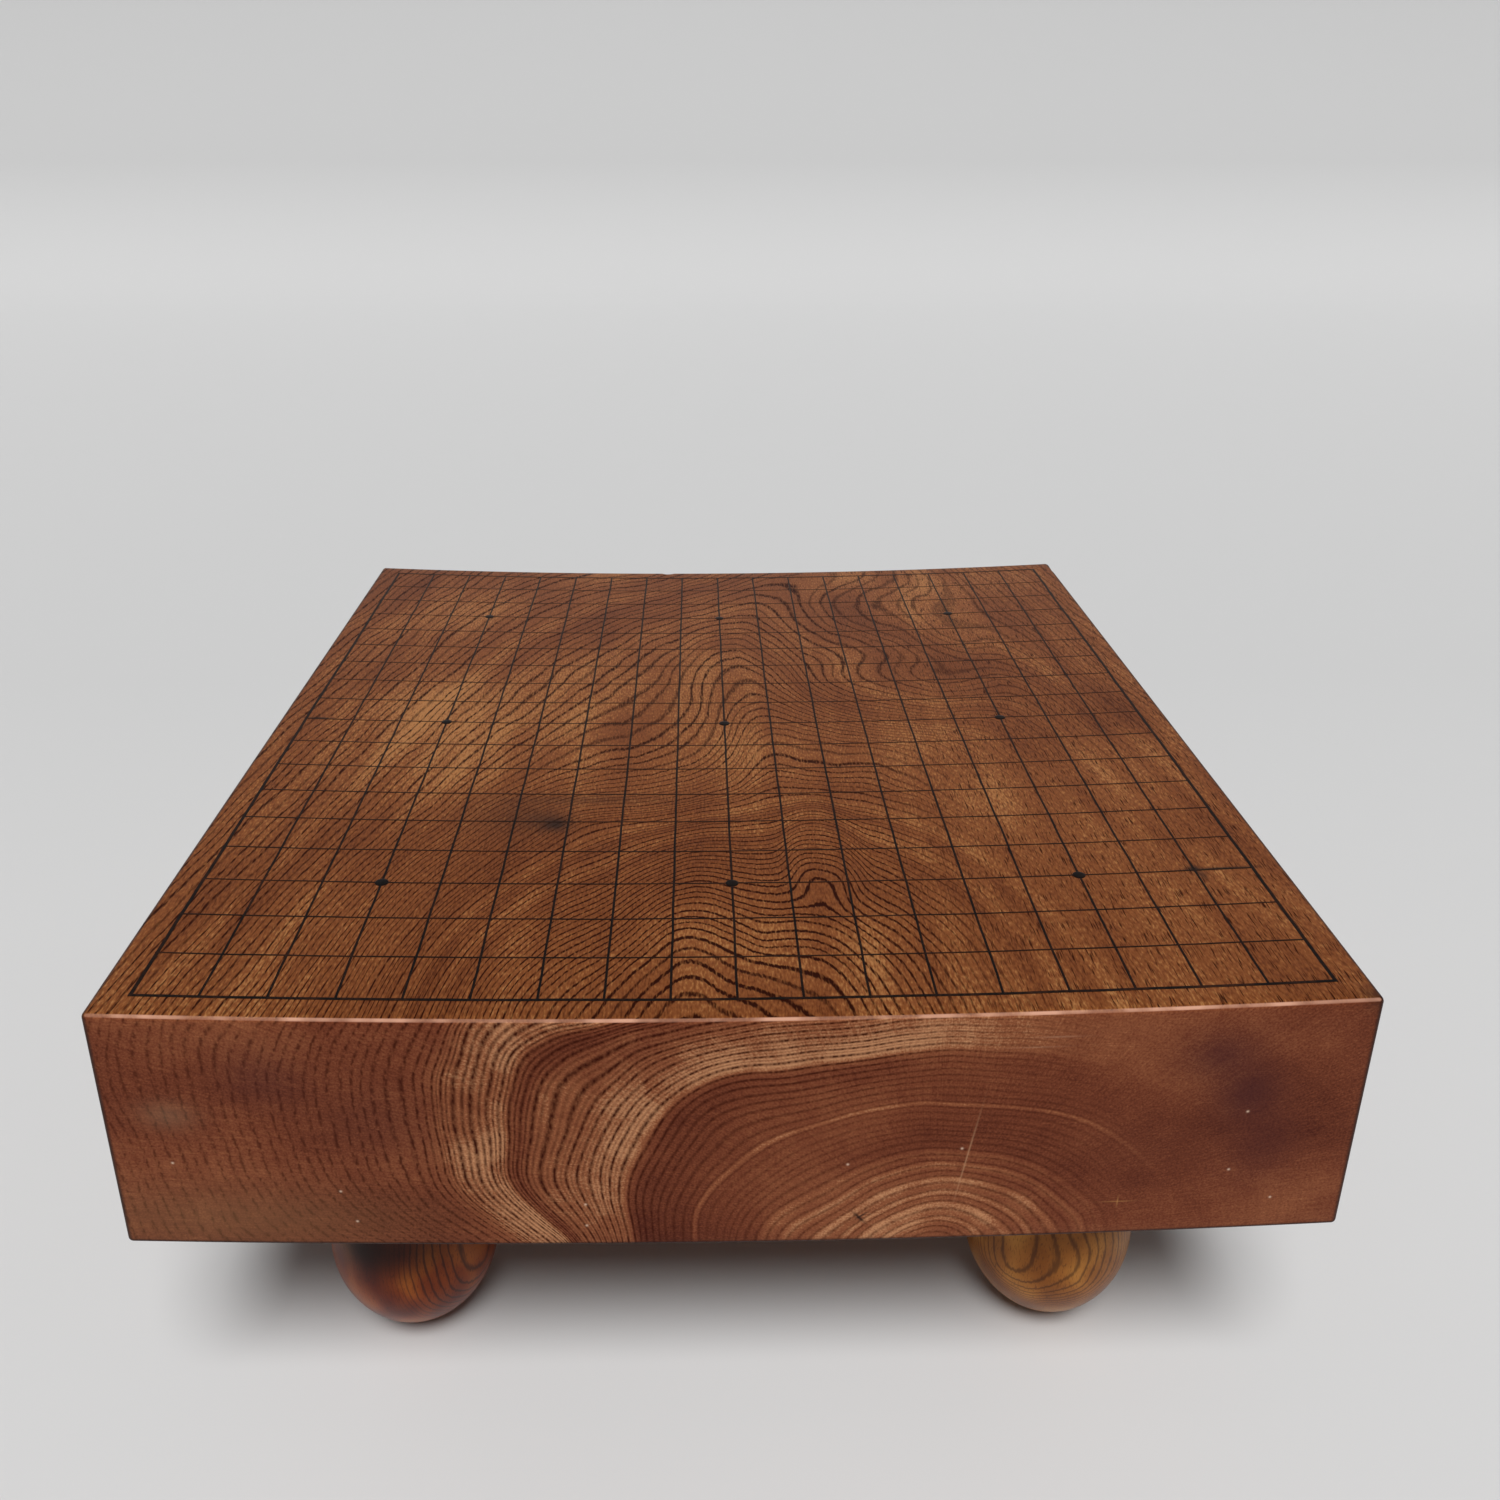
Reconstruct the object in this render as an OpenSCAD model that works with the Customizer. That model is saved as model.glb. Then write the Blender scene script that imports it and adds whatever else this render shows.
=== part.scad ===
// Floor go board: one thick block of hardwood on four turned feet, with a grid in black lacquer.
// Frame: +Z up, the floor at z = 0, the origin under the middle of the block.
// X runs across the end-grain face, Y runs along the grain, and the players' near side is -Y.
// The block has cupped with age: it is bent about one straight line, parallel to Y, high above it.
// Places on it are given by x, measured along the curve of the playing face, and by y.

/* [Block] */
// Width of the playing face, measured along its curve
board_w = 420; // [380:1:460]
// Length of the block, along the grain
board_l = 448; // [410:1:490]
// Thickness of the block
board_t = 100; // [75:1:150]
// Radius that the playing face is cupped to
cup_radius = 4350; // [3000:50:12000]
// Width of the flat taken off each edge of the block
edge_ease = 1.5; // [0.6:0.1:4]
// Width of the square hollow in the underside, at its mouth
hollow_mouth = 90; // [70:1:120]
// Width of the square hollow at its floor
hollow_floor = 40; // [20:1:60]
// Depth of the square hollow
hollow_depth = 24; // [10:1:40]

/* [Lacquer] */
// Distance from the middle of an outer long line to the block's side
margin_x = 12; // [8:0.5:20]
// Distance from the middle of an outer cross line to the block's end
margin_y = 10.7; // [8:0.1:20]
// Width of an inner line
line_w = 1; // [0.6:0.1:1.6]
// Width of the four border lines
border_w = 1.3; // [0.8:0.1:2]
// Thickness of the lacquer in a line
line_t = 0.15; // [0.1:0.05:0.5]
// Diameter of a star point
star_d = 5; // [3:0.1:7]
// Thickness of the lacquer in a star point
star_t = 0.25; // [0.1:0.05:0.6]
// Clearance between the lacquer and the curved face under it
film_gap = 0.15; // [0.13:0.01:0.3]

/* [Feet] */
// Height of a foot, from the floor to the block
foot_h = 90; // [70:1:120]
// Largest diameter of a foot
foot_d = 67; // [56:1:80]
// Height of a foot's widest place above the floor
belly_h = 41; // [30:1:55]
// Diameter of the worn flat that a foot stands on
sole_d = 18; // [12:1:30]
// Diameter of a foot where it meets the block
shoulder_d = 40; // [34:1:50]
// Distance from a foot's middle to the block's side, along the playing face
foot_inset_x = 84.5; // [60:0.5:110]
// Distance from a foot's middle to the block's end
foot_inset_y = 56; // [45:1:90]

/* [Foot joint] */
// Diameter of the round tenon on top of a foot
tenon_d = 26; // [18:1:30]
// Length of the tenon
tenon_l = 38; // [20:1:50]
// Bevel on the tenon's end
tenon_bevel = 2; // [0.5:0.5:4]
// Clearance all round a tenon in its mortise
tenon_gap = 0.05; // [0.02:0.01:0.1]
// Room left past the tenon's end in its mortise
mortise_room = 2; // [1:0.5:6]
// Clearance between a foot's shoulder and the block
seat_gap = 0.05; // [0.02:0.01:0.2]

/* [Hidden] */

// Facets to the full turn of a foot, and of the wide arc that the block is bent to
$fn = 96;
arc_fn = 2400;

// How far a cut runs past the face that it opens
overrun = 1;

// Lines each way, and the lines that carry star points
line_count = 19;
star_lines = [3, 9, 15];
last_line = line_count - 1;
line_step_x = (board_w - 2 * margin_x) / last_line;
line_step_y = (board_l - 2 * margin_y) / last_line;
function line_x(i) = (i - last_line / 2) * line_step_x;
function line_y(j) = (j - last_line / 2) * line_step_y;
function width_of(i) = (i == 0 || i == last_line) ? border_w : line_w;

// Feet: their places on the block, and the level of the line that the block is bent about
foot_x = board_w / 2 - foot_inset_x;
foot_y = board_l / 2 - foot_inset_y;
under_radius = cup_radius + board_t;
bend_z = foot_h + under_radius * cos(turn(foot_x));

// A foot's two arcs meet at its widest place with a common upright tangent
foot_r = foot_d / 2;
upper_h = foot_h - belly_h;
upper_arc_r = arc_radius(foot_r - shoulder_d / 2, upper_h);
lower_arc_r = arc_radius(foot_r - sole_d / 2, belly_h);
function arc_radius(inset, rise) = (inset * inset + rise * rise) / (2 * inset);

// A foot is turned this much too long, and its sole is then cut level with the floor
sole_trim = sole_d / 9;

block_colour = "#8c5a35";
foot_colour = "#84502c";
lacquer_colour = "#1d1815";

// The angle about the bend line of a place x along the playing face, in degrees
function turn(x) = x / cup_radius * 180 / PI;

// Puts children on the playing face at x and y, with their Z square to it
module on_face(x, y = 0) {
    translate([0, 0, bend_z]) rotate([0, -turn(x), 0]) translate([0, y, -cup_radius]) children();
}

// Sweeps a section of distance from the bend line and of y round the bend, from one x to another
module sweep_face(from_x, to_x, y = 0) {
    translate([0, y, bend_z]) rotate([90, 0, 0]) rotate([0, 0, turn(from_x) - 90])
        rotate_extrude(angle = turn(to_x - from_x), $fn = arc_fn) children();
}

module block_section() {
    inner = cup_radius;
    outer = under_radius;
    end = board_l / 2;
    ease = edge_ease;
    polygon([
        [inner + ease, -end], [outer - ease, -end], [outer, ease - end], [outer, end - ease],
        [outer - ease, end], [inner + ease, end], [inner, end - ease], [inner, ease - end]
    ]);
}

// A square bar, set on its corner, that takes the flat off an edge along Z
module edge_cutter(length) {
    side = edge_ease * sqrt(2);
    rotate([0, 0, 45]) cube([side, side, length + 2 * overrun], center = true);
}

// The outline of the square hollow, from its floor to past its mouth
module hollow_section() {
    flare = overrun * (hollow_mouth - hollow_floor) / 2 / hollow_depth;
    mouth = hollow_mouth / 2 + flare;
    floor = hollow_floor / 2;
    polygon([[-mouth, -overrun], [mouth, -overrun], [floor, hollow_depth], [-floor, hollow_depth]]);
}

module square_hollow() {
    reach = hollow_mouth + 2 * overrun * hollow_mouth / hollow_depth;
    intersection() {
        rotate([90, 0, 0]) linear_extrude(reach, center = true) hollow_section();
        rotate([90, 0, 90]) linear_extrude(reach, center = true) hollow_section();
    }
}

module board_block() {
    color(block_colour) difference() {
        sweep_face(-board_w / 2, board_w / 2) block_section();
        for (side = [-1, 1]) {
            for (depth = [0, board_t])
                on_face(side * board_w / 2) translate([0, 0, -depth]) rotate([90, 0, 0]) edge_cutter(board_l);
            for (end = [-1, 1]) {
                on_face(side * board_w / 2, end * board_l / 2)
                    translate([0, 0, -board_t / 2]) edge_cutter(board_t);
                on_face(side * foot_x, end * foot_y) translate([0, 0, -board_t - overrun])
                    cylinder(d = tenon_d + 2 * tenon_gap, h = tenon_l + mortise_room + overrun);
            }
        }
        on_face(0) translate([0, 0, -board_t]) square_hollow();
    }
}

// One arc of a foot's outline, between two levels below the block
module foot_arc(arc_r, low, high) {
    intersection() {
        translate([foot_r - arc_r, -upper_h]) circle(arc_r);
        translate([0, low]) square([foot_r, high - low]);
    }
}

module foot_section() {
    tenon_r = tenon_d / 2;
    foot_arc(upper_arc_r, -upper_h, -seat_gap);
    foot_arc(lower_arc_r, -foot_h - sole_trim, -upper_h);
    polygon([
        [0, -upper_h], [tenon_r, -upper_h], [tenon_r, tenon_l - tenon_bevel],
        [tenon_r - tenon_bevel, tenon_l], [0, tenon_l]
    ]);
}

// A turned foot, square to the underside where it sits, with its sole level on the floor
module turned_foot(side, end) {
    color(foot_colour) difference() {
        on_face(side * foot_x, end * foot_y) translate([0, 0, -board_t]) rotate_extrude() foot_section();
        translate([side * foot_x, end * foot_y, -foot_d]) cube(2 * foot_d, center = true);
    }
}

module foot_front_left() {
    turned_foot(-1, -1);
}

module foot_front_right() {
    turned_foot(1, -1);
}

module foot_back_left() {
    turned_foot(-1, 1);
}

module foot_back_right() {
    turned_foot(1, 1);
}

// Puts children at each of the nine star points
module at_stars() {
    for (i = star_lines, j = star_lines) on_face(line_x(i), line_y(j)) children();
}

// The lines stop at the rims of the star points
module clear_of_stars() {
    difference() {
        children();
        at_stars() cylinder(d = star_d, h = 2 * (film_gap + line_t + overrun), center = true);
    }
}

// A strip of lacquer on the playing face, from one x to another and as long along Y as its span
module lacquer_strip(from_x, to_x, y, span) {
    sweep_face(from_x, to_x, y)
        translate([cup_radius - film_gap - line_t, -span / 2]) square([line_t, span]);
}

module long_lines() {
    span = line_y(last_line) - line_y(0) + border_w;
    color(lacquer_colour) clear_of_stars() {
        for (i = [0 : last_line])
            lacquer_strip(line_x(i) - width_of(i) / 2, line_x(i) + width_of(i) / 2, 0, span);
    }
}

// The cross lines run from each long line to the next
module cross_lines() {
    color(lacquer_colour) clear_of_stars() {
        for (i = [0 : last_line - 1], j = [0 : last_line])
            lacquer_strip(
                line_x(i) + width_of(i) / 2, line_x(i + 1) - width_of(i + 1) / 2, line_y(j), width_of(j)
            );
    }
}

module star_points() {
    color(lacquer_colour) at_stars() translate([0, 0, film_gap]) cylinder(d = star_d, h = star_t);
}

board_block();
foot_front_left();
foot_front_right();
foot_back_left();
foot_back_right();
long_lines();
cross_lines();
star_points();
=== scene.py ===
# %% [markdown]
# # An old floor go board
# The real object is one thick block of ring-porous hardwood that stands on four turned feet. Its
# playing face carries nineteen lines each way, drawn in black lacquer, and nine star points.
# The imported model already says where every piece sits, so this lesson starts from it and makes only
# the looks: finer meshes, wood with its growth rings, worn lacquer, a pale floor and soft light.

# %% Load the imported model
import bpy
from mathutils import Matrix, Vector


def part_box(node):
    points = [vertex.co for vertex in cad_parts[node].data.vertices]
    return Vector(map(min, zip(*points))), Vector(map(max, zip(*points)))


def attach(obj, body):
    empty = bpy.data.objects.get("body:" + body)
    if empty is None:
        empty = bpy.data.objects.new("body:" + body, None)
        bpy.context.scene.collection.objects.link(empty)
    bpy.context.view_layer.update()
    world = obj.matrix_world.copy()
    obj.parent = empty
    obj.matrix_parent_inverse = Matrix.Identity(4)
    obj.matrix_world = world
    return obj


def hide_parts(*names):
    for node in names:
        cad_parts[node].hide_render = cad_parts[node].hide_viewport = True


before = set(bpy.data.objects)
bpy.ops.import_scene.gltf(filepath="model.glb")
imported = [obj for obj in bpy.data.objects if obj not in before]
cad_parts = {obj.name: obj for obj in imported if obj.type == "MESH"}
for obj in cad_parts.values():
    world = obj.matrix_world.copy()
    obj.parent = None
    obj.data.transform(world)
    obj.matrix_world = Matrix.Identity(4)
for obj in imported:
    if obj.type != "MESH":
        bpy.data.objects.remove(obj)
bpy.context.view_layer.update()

# %% [markdown]
# ## Sizes
# The block has cupped with age: its playing face is bent about one straight line, high above it and
# parallel to Y. A place on the board is easiest to give flat, as x along the face, y, and a height
# above the face, and to bend afterwards. One function does that for points here and one set of nodes
# does it for lacquer further down, both with the same radius, so the lines always lie on the wood.

# %% Sizes, and the bend of the cup
import math
import bmesh
import bpy
import numpy as np
from mathutils import Matrix, Vector

MM = 0.001
CUP_RADIUS = 4350 * MM
BLOCK_THICK = 100 * MM
FACE_WIDTH = 420 * MM
block_low, block_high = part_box("board_block")
BLOCK_LENGTH = block_high.y - block_low.y
BEND_Z = block_low.z + BLOCK_THICK + CUP_RADIUS


def on_cup(flat):
    """Bends flat places (x along the face, y, height above the face) to the cup of the block."""
    x, y, height = np.asarray(flat, float).T
    reach = CUP_RADIUS - height
    angle = x / CUP_RADIUS
    return np.column_stack((reach * np.sin(angle), y, BEND_Z - reach * np.cos(angle)))


print(f"block {FACE_WIDTH:.3f} x {BLOCK_LENGTH:.3f} x {BLOCK_THICK:.3f} m, bent about z = {BEND_Z:.3f} m")

# %% [markdown]
# ## Colours and nodes
# Colours are picked as sRGB hex values, the way a paint program shows them, and a shader wants them
# linear. Every material and every Geometry Nodes tree below is built with one small function: it adds
# a node, sets it, links what is a socket, writes what is a value, and hands back one output to link on.
# An input goes by its name, or by its number where a node has several inputs of one name. Map Range
# reads input 0, and has the range that it reads in 1 and 2 and the range that it gives in 3 and 4.

# %% Small helpers for colours and nodes


def colour(code):
    """Turns a hex colour into the linear RGBA that a shader works in."""
    parts = [int(code[i:i + 2], 16) / 255 for i in (1, 3, 5)]
    return tuple(p / 12.92 if p <= 0.04045 else ((p + 0.055) / 1.055) ** 2.4 for p in parts) + (1.0,)


def add(tree, kind, inputs=None, out=0, stops=None, **settings):
    """Adds a node with its settings, links and values, and returns one of its outputs."""
    made = tree.nodes.new(kind)
    for name, value in settings.items():
        setattr(made, name, value)
    for i, (place, paint) in enumerate(stops or []):
        steps = made.color_ramp.elements
        step = steps[i] if i < 2 else steps.new(place)
        step.position = place
        step.color = paint
    for key, value in (inputs or {}).items():
        if isinstance(value, bpy.types.NodeSocket):
            tree.links.new(value, made.inputs[key])
        else:
            made.inputs[key].default_value = value
    return made.outputs[out] if made.outputs else made


def empty_material(name):
    """A new material with an empty node tree."""
    made = bpy.data.materials.new(name)
    made.use_nodes = True
    made.node_tree.nodes.clear()
    return made


print("mid brown in linear light:", [round(c, 3) for c in colour("#7a4a2c")])

# %% [markdown]
# ## The block's wood: one field of growth rings
# A board sawn from a log shows its rings three ways: arcs on the end grain, cathedral arches on the
# face, and straight lines on the sides. A flat picture of each would never meet at the edges. So the
# rings are drawn as one distance from the log's heart, worked out at every place in the block, and
# each ring is one step of it. The heart lies just under the block, right of the middle, and dips away
# from the near end.

# %% Where the heart of the log lies, in millimetres
MATH, VECTOR, NOISE = "ShaderNodeMath", "ShaderNodeVectorMath", "ShaderNodeTexNoise"
RANGE, MIX, RAMP = "ShaderNodeMapRange", "ShaderNodeMix", "ShaderNodeValToRGB"
XYZ, PARTS = "ShaderNodeCombineXYZ", "ShaderNodeSeparateXYZ"
HEART_X = 70.0
HEART_DEPTH = 103.0
# how far the heart dips in each millimetre of length
HEART_DIP = 0.20
# how much wider than high the rings are
RING_OVAL = 1.3
RING_STEP = 2.7
HALF_LENGTH = BLOCK_LENGTH / MM / 2
HALF_WIDTH = FACE_WIDTH / MM / 2
FAR = 1e5


def wood_place(tree):
    """The place in the block in millimetres: x, y, and depth below the cupped face."""
    where = add(tree, "ShaderNodeTexCoord", out="Object")
    part = add(tree, PARTS, {0: where}).node.outputs
    # a shallow cup rises by the square of x over twice its radius
    square = add(tree, MATH, {0: part["X"], 1: part["X"]}, operation="MULTIPLY")
    face = add(tree, MATH, {0: square, 1: 0.5 / CUP_RADIUS, 2: BEND_Z - CUP_RADIUS},
               operation="MULTIPLY_ADD")
    depth = add(tree, MATH, {0: face, 1: part["Z"]}, operation="SUBTRACT")
    bent_place = add(tree, XYZ, {"X": part["X"], "Y": part["Y"], "Z": depth})
    return add(tree, VECTOR, {0: bent_place, "Scale": 1 / MM}, operation="SCALE")


print(f"at the near end the heart is {HEART_DEPTH:.0f} mm deep and {HEART_X:.0f} mm right of the middle")

# %% [markdown]
# ## Swells in the rings
# Real rings are not clean ovals. Where the trunk swelled or a branch stood near, the rings bulge, and
# the saw turns each bulge into an arch, an island or a swirl. Each swell here is a hump with a place, a
# reach and an amount in millimetres. Some shape the faces along the grain and others
# only the end grain.

# %% The swells that shape the figure
FACE_SWELLS = [
    # x, y, reach in x, reach in y, amount, steep edge
    (-40, -330, 110, 190, -70, False),
    (-66, -215, 50, 60, -14, False),
    (-17, -160, 24, 64, -17, False),
    (30, -190, 24, 50, -8, False),
    (-5, -176, 120, 98, -28, True),
    (-62, -92, 26, 22, -8, False),
    (36, -118, 15, 36, -11.5, True),
    (17, -35, 15, 44, -9, False),
    (-22, -45, 46, 90, 18, False),
    (6, 80, 22, 40, -4, False),
    (86, 100, 62, 100, 26, True),
    (80, 28, 50, 44, 12, True),
    (-30, 260, 80, 110, 25, False),
    (230, 0, 110, 600, 60, False),
]
END_SWELLS = [
    # x, depth, reach in x, reach in depth, amount
    (-110, 118, 62, 34, 32),
    (-66, 104, 24, 22, 10),
    (-80, -7, 50, 45, -20),
    (-210, -7, 110, 60, -26),
    (-8, 28, 30, 30, -7),
    (38, 84, 24, 16, 4),
    (14, 102, 24, 24, -5),
    (128, 102, 24, 24, -4),
]


def hump(tree, place, centre, reach, steep=False, lean=0.0):
    """One at the centre, fading past its reach; it may have a steep edge, or lean with depth."""
    away = add(tree, VECTOR, {0: place, 1: centre}, operation="SUBTRACT")
    if lean:
        part = add(tree, PARTS, {0: away}).node.outputs
        x = add(tree, MATH, {0: part["Z"], 1: -lean, 2: part["X"]}, operation="MULTIPLY_ADD")
        away = add(tree, XYZ, {"X": x, "Y": part["Y"], "Z": part["Z"]})
    away = add(tree, VECTOR, {0: away, 1: reach}, operation="DIVIDE")
    share = add(tree, VECTOR, {0: away, 1: away}, out="Value", operation="DOT_PRODUCT")
    if steep:
        share = add(tree, MATH, {0: share, 1: share}, operation="MULTIPLY")
    share = add(tree, MATH, {0: share, 1: -1.0}, operation="MULTIPLY")
    return add(tree, MATH, {0: share}, operation="EXPONENT")


print(len(FACE_SWELLS), "swells on the faces and", len(END_SWELLS), "on the end grain")

# %% [markdown]
# ## Noise at the sizes of real wood
# Wood is long along its fibres and short across them. So each noise is divided by the size of one
# feature in millimetres before it is read, from broad clouds down to the pores. Real pores are about a
# quarter of a millimetre across, too fine to show from here. Fibre, pores, dashes, flecks and speckle
# are therefore drawn two to five times as coarse.

# %% Noises for the grain
GRAIN_SIZES = {
    # x, y and depth of one feature, in millimetres: the fibres run along y
    "drift": (38, 85, 38),
    "ripple": (13, 30, 13),
    "fibre": (1.2, 14, 1.2),
    "pores": (0.9, 5, 0.9),
    "dashes": (1.3, 5, 2.6),
    "flecks": (0.6, 9, 0.6),
    "speckle": (0.8, 2.6, 0.8),
    "streaks": (9, 170, 9),
    "clouds": (60, 90, 45),
    "scratches": (26, 60, 0.4),
}


def grain_noises(tree, place, sizes):
    """One noise for each size of feature, all read at the same place."""
    made = {}
    for name, size in sizes.items():
        spread = add(tree, VECTOR, {0: place, 1: size}, operation="DIVIDE")
        made[name] = add(tree, NOISE, {"Vector": spread, "Scale": 1.0, "Detail": 1.0})
    return made


print("grain noises:", ", ".join(GRAIN_SIZES))

# %% [markdown]
# ## The distance from the heart
# A wave texture could draw rings, but it could not follow swells that are listed one by one. Here the
# distance from the heart is measured square to the log, squeezed because the trunk was oval, and then
# the swells, a slow drift and the uneven width of real rings are added. A ping-pong of that distance
# says how far the nearest ring is, so the dark line at each ring comes from the same number on every
# side of the block.

# %% Clean rings, and what changes from ring to ring


def ring_noise(tree, rings, every):
    """A noise that changes only from ring to ring, with features about this many millimetres apart."""
    spread = add(tree, MATH, {0: rings, 1: every}, operation="DIVIDE")
    return add(tree, NOISE, {"W": spread, "Scale": 1.0, "Detail": 0.0}, noise_dimensions="1D")


def heart_distance(tree, part):
    """The distance from the heart, square to the log, in millimetres."""
    across = add(tree, MATH, {0: part["X"], 1: 1 / RING_OVAL, 2: -HEART_X / RING_OVAL},
                 operation="MULTIPLY_ADD")
    under_middle = HEART_DEPTH + HEART_DIP * HALF_LENGTH
    level = add(tree, MATH, {0: part["Y"], 1: HEART_DIP, 2: under_middle}, operation="MULTIPLY_ADD")
    above = add(tree, MATH, {0: level, 1: part["Z"]}, operation="SUBTRACT")
    from_heart = add(tree, XYZ, {"X": across, "Y": above})
    return add(tree, VECTOR, {0: from_heart}, out="Value", operation="LENGTH")


def line_at(tree, rings, full, gone, step=RING_STEP, strength=1.0):
    """The dark line at each ring: at its strength up to one distance, and gone past another."""
    away = add(tree, MATH, {0: rings, 1: step / 2}, operation="PINGPONG")
    return add(tree, RANGE, {0: away, 1: full, 2: gone, 3: strength, 4: 0.0},
               interpolation_type="SMOOTHSTEP")


print(f"a ring every {RING_STEP} mm, {RING_OVAL} times as wide as high")

# %% The ring distance with its swells
RING_DRIFT = 6.0
FACE_DRIFT = {"ripple": 1.8, "fibre": 0.7}
# between these depths the face turns into the side, where the lines sway less
SIDE_FROM, SIDE_TO, SIDE_CALM = 1.5, 4.0, 0.3
RING_UNEVEN, RING_UNEVEN_EVERY = 2.6, 9.0


def ring_distance(tree, place, noise, end):
    """The distance from the heart with its swells and unevenness; end is one on the end grain."""
    part = add(tree, PARTS, {0: place}).node.outputs
    # a noise lies round one half, so half of what the noises add is taken off here
    on_end = on_face = -(RING_DRIFT + RING_UNEVEN) / 2
    for x, y, reach_x, reach_y, amount, steep in FACE_SWELLS:
        one = hump(tree, place, (x, y, 0), (reach_x, reach_y, FAR), steep)
        on_face = add(tree, MATH, {0: one, 1: amount, 2: on_face}, operation="MULTIPLY_ADD")
    for name, height in FACE_DRIFT.items():
        calmed = {1: SIDE_FROM, 2: SIDE_TO, 3: height, 4: height * SIDE_CALM}
        amount = add(tree, RANGE, {0: part["Z"], **calmed})
        sway = add(tree, MATH, {0: noise[name], 1: 0.5}, operation="SUBTRACT")
        on_face = add(tree, MATH, {0: sway, 1: amount, 2: on_face}, operation="MULTIPLY_ADD")
    for x, depth, reach_x, reach_depth, amount in END_SWELLS:
        one = hump(tree, place, (x, 0, depth), (reach_x, FAR, reach_depth))
        on_end = add(tree, MATH, {0: one, 1: amount, 2: on_end}, operation="MULTIPLY_ADD")
    swell = add(tree, MIX, {0: end, 2: on_face, 3: on_end})
    rings = add(tree, MATH, {0: heart_distance(tree, part), 1: swell}, operation="ADD")
    rings = add(tree, MATH, {0: noise["drift"], 1: RING_DRIFT, 2: rings}, operation="MULTIPLY_ADD")
    uneven = ring_noise(tree, rings, RING_UNEVEN_EVERY)
    return add(tree, MATH, {0: uneven, 1: RING_UNEVEN, 2: rings}, operation="MULTIPLY_ADD")


print(f"the rings drift by up to {RING_DRIFT} mm and their width wanders by up to {RING_UNEVEN} mm")

# %% [markdown]
# ## The face of the wood
# The face is a warm mid brown. At the start of each ring stands a row of open pores that has filled
# with dark wax, so the rings show as thin broken dark lines, with short dashes between them. They are
# boldest in the arch at the near end. The dashes crowd the right side, where the rings are faint.
# A few broad patches are paler or darker, as old wood is, and each is a hump that shifts the tone.

# %% Tones of the playing face and the sides
FACE_TONES = [(0.28, "#522509"), (0.44, "#6e3a19"), (0.56, "#814a24"), (0.71, "#a87242")]
FACE_PATCHES = [
    # x, y, reach in x, reach in y, change of tone
    (-160, 140, 26, 60, 0.08),
    (-68, -27, 13, 50, 0.12),
    (-17, 80, 13, 42, 0.10),
    (112, -70, 13, 42, 0.12),
    (46, -186, 10, 24, 0.14),
    (-16, -190, 22, 30, 0.13),
    (0, 20, 30, 60, 0.08),
    (-185, 190, 42, 60, -0.08),
    (186, -7, 20, 26, -0.10),
    (-96, -110, 34, 40, -0.08),
    (130, 205, 50, 40, 0.10),
    (-125, -10, 45, 70, 0.17),
]
PATCH_DEPTH = 60
TONE_WEIGHTS = {"streaks": 0.16, "clouds": 0.32, "speckle": 0.54}
# several rings together are paler or darker than the next few
GROUP_WEIGHT, GROUP_STEP = 0.14, 8.0


def face_tone(tree, place, noise, rings):
    """Colour of the faces along the grain, before their pores."""
    # the noises lie round one half, and this start keeps the tone there too
    tone = 0.5 - (sum(TONE_WEIGHTS.values()) + GROUP_WEIGHT) / 2
    for name, weight in TONE_WEIGHTS.items():
        tone = add(tree, MATH, {0: noise[name], 1: weight, 2: tone}, operation="MULTIPLY_ADD")
    groups = ring_noise(tree, rings, GROUP_STEP)
    tone = add(tree, MATH, {0: groups, 1: GROUP_WEIGHT, 2: tone}, operation="MULTIPLY_ADD")
    for x, y, reach_x, reach_y, change in FACE_PATCHES:
        one = hump(tree, place, (x, y, 0), (reach_x, reach_y, PATCH_DEPTH))
        tone = add(tree, MATH, {0: one, 1: change, 2: tone}, operation="MULTIPLY_ADD")
    return add(tree, RAMP, {0: tone}, stops=[(p, colour(c)) for p, c in FACE_TONES])


print(len(FACE_PATCHES), "patches of tone on the face")

# %% Pores of the playing face and the sides
PORE_BROWN = "#290a01"
LINE_FULL, FACE_LINE_GONE, SIDE_LINE_GONE = 0.14, 0.54, 0.40
LINE_BREAKS = {1: 0.36, 2: 0.54, 3: 0.40, 4: 1.0}
# each ring is bolder or fainter than the next
RING_EACH, RING_FAINT = 3.7, {1: 0.36, 2: 0.54, 3: 0.68, 4: 1.0}
BOLD_PLACE, BOLD_REACH, BOLD_MORE = (0, -165, 0), (80, 60, FAR), 0.55
# on the right the lines are weak, and weaker still towards the near end
RIGHT_SIDE, RIGHT_LINES = {1: 55, 2: 105}, {1: -80, 2: 20, 3: 0.28, 4: 0.75}
SIDE_LINES = 0.5
FACE_FLECKS, RIGHT_FLECKS = {1: 0.57, 2: 0.70, 3: 0.0, 4: 1.0}, {3: 0.35, 4: 0.95}


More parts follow.
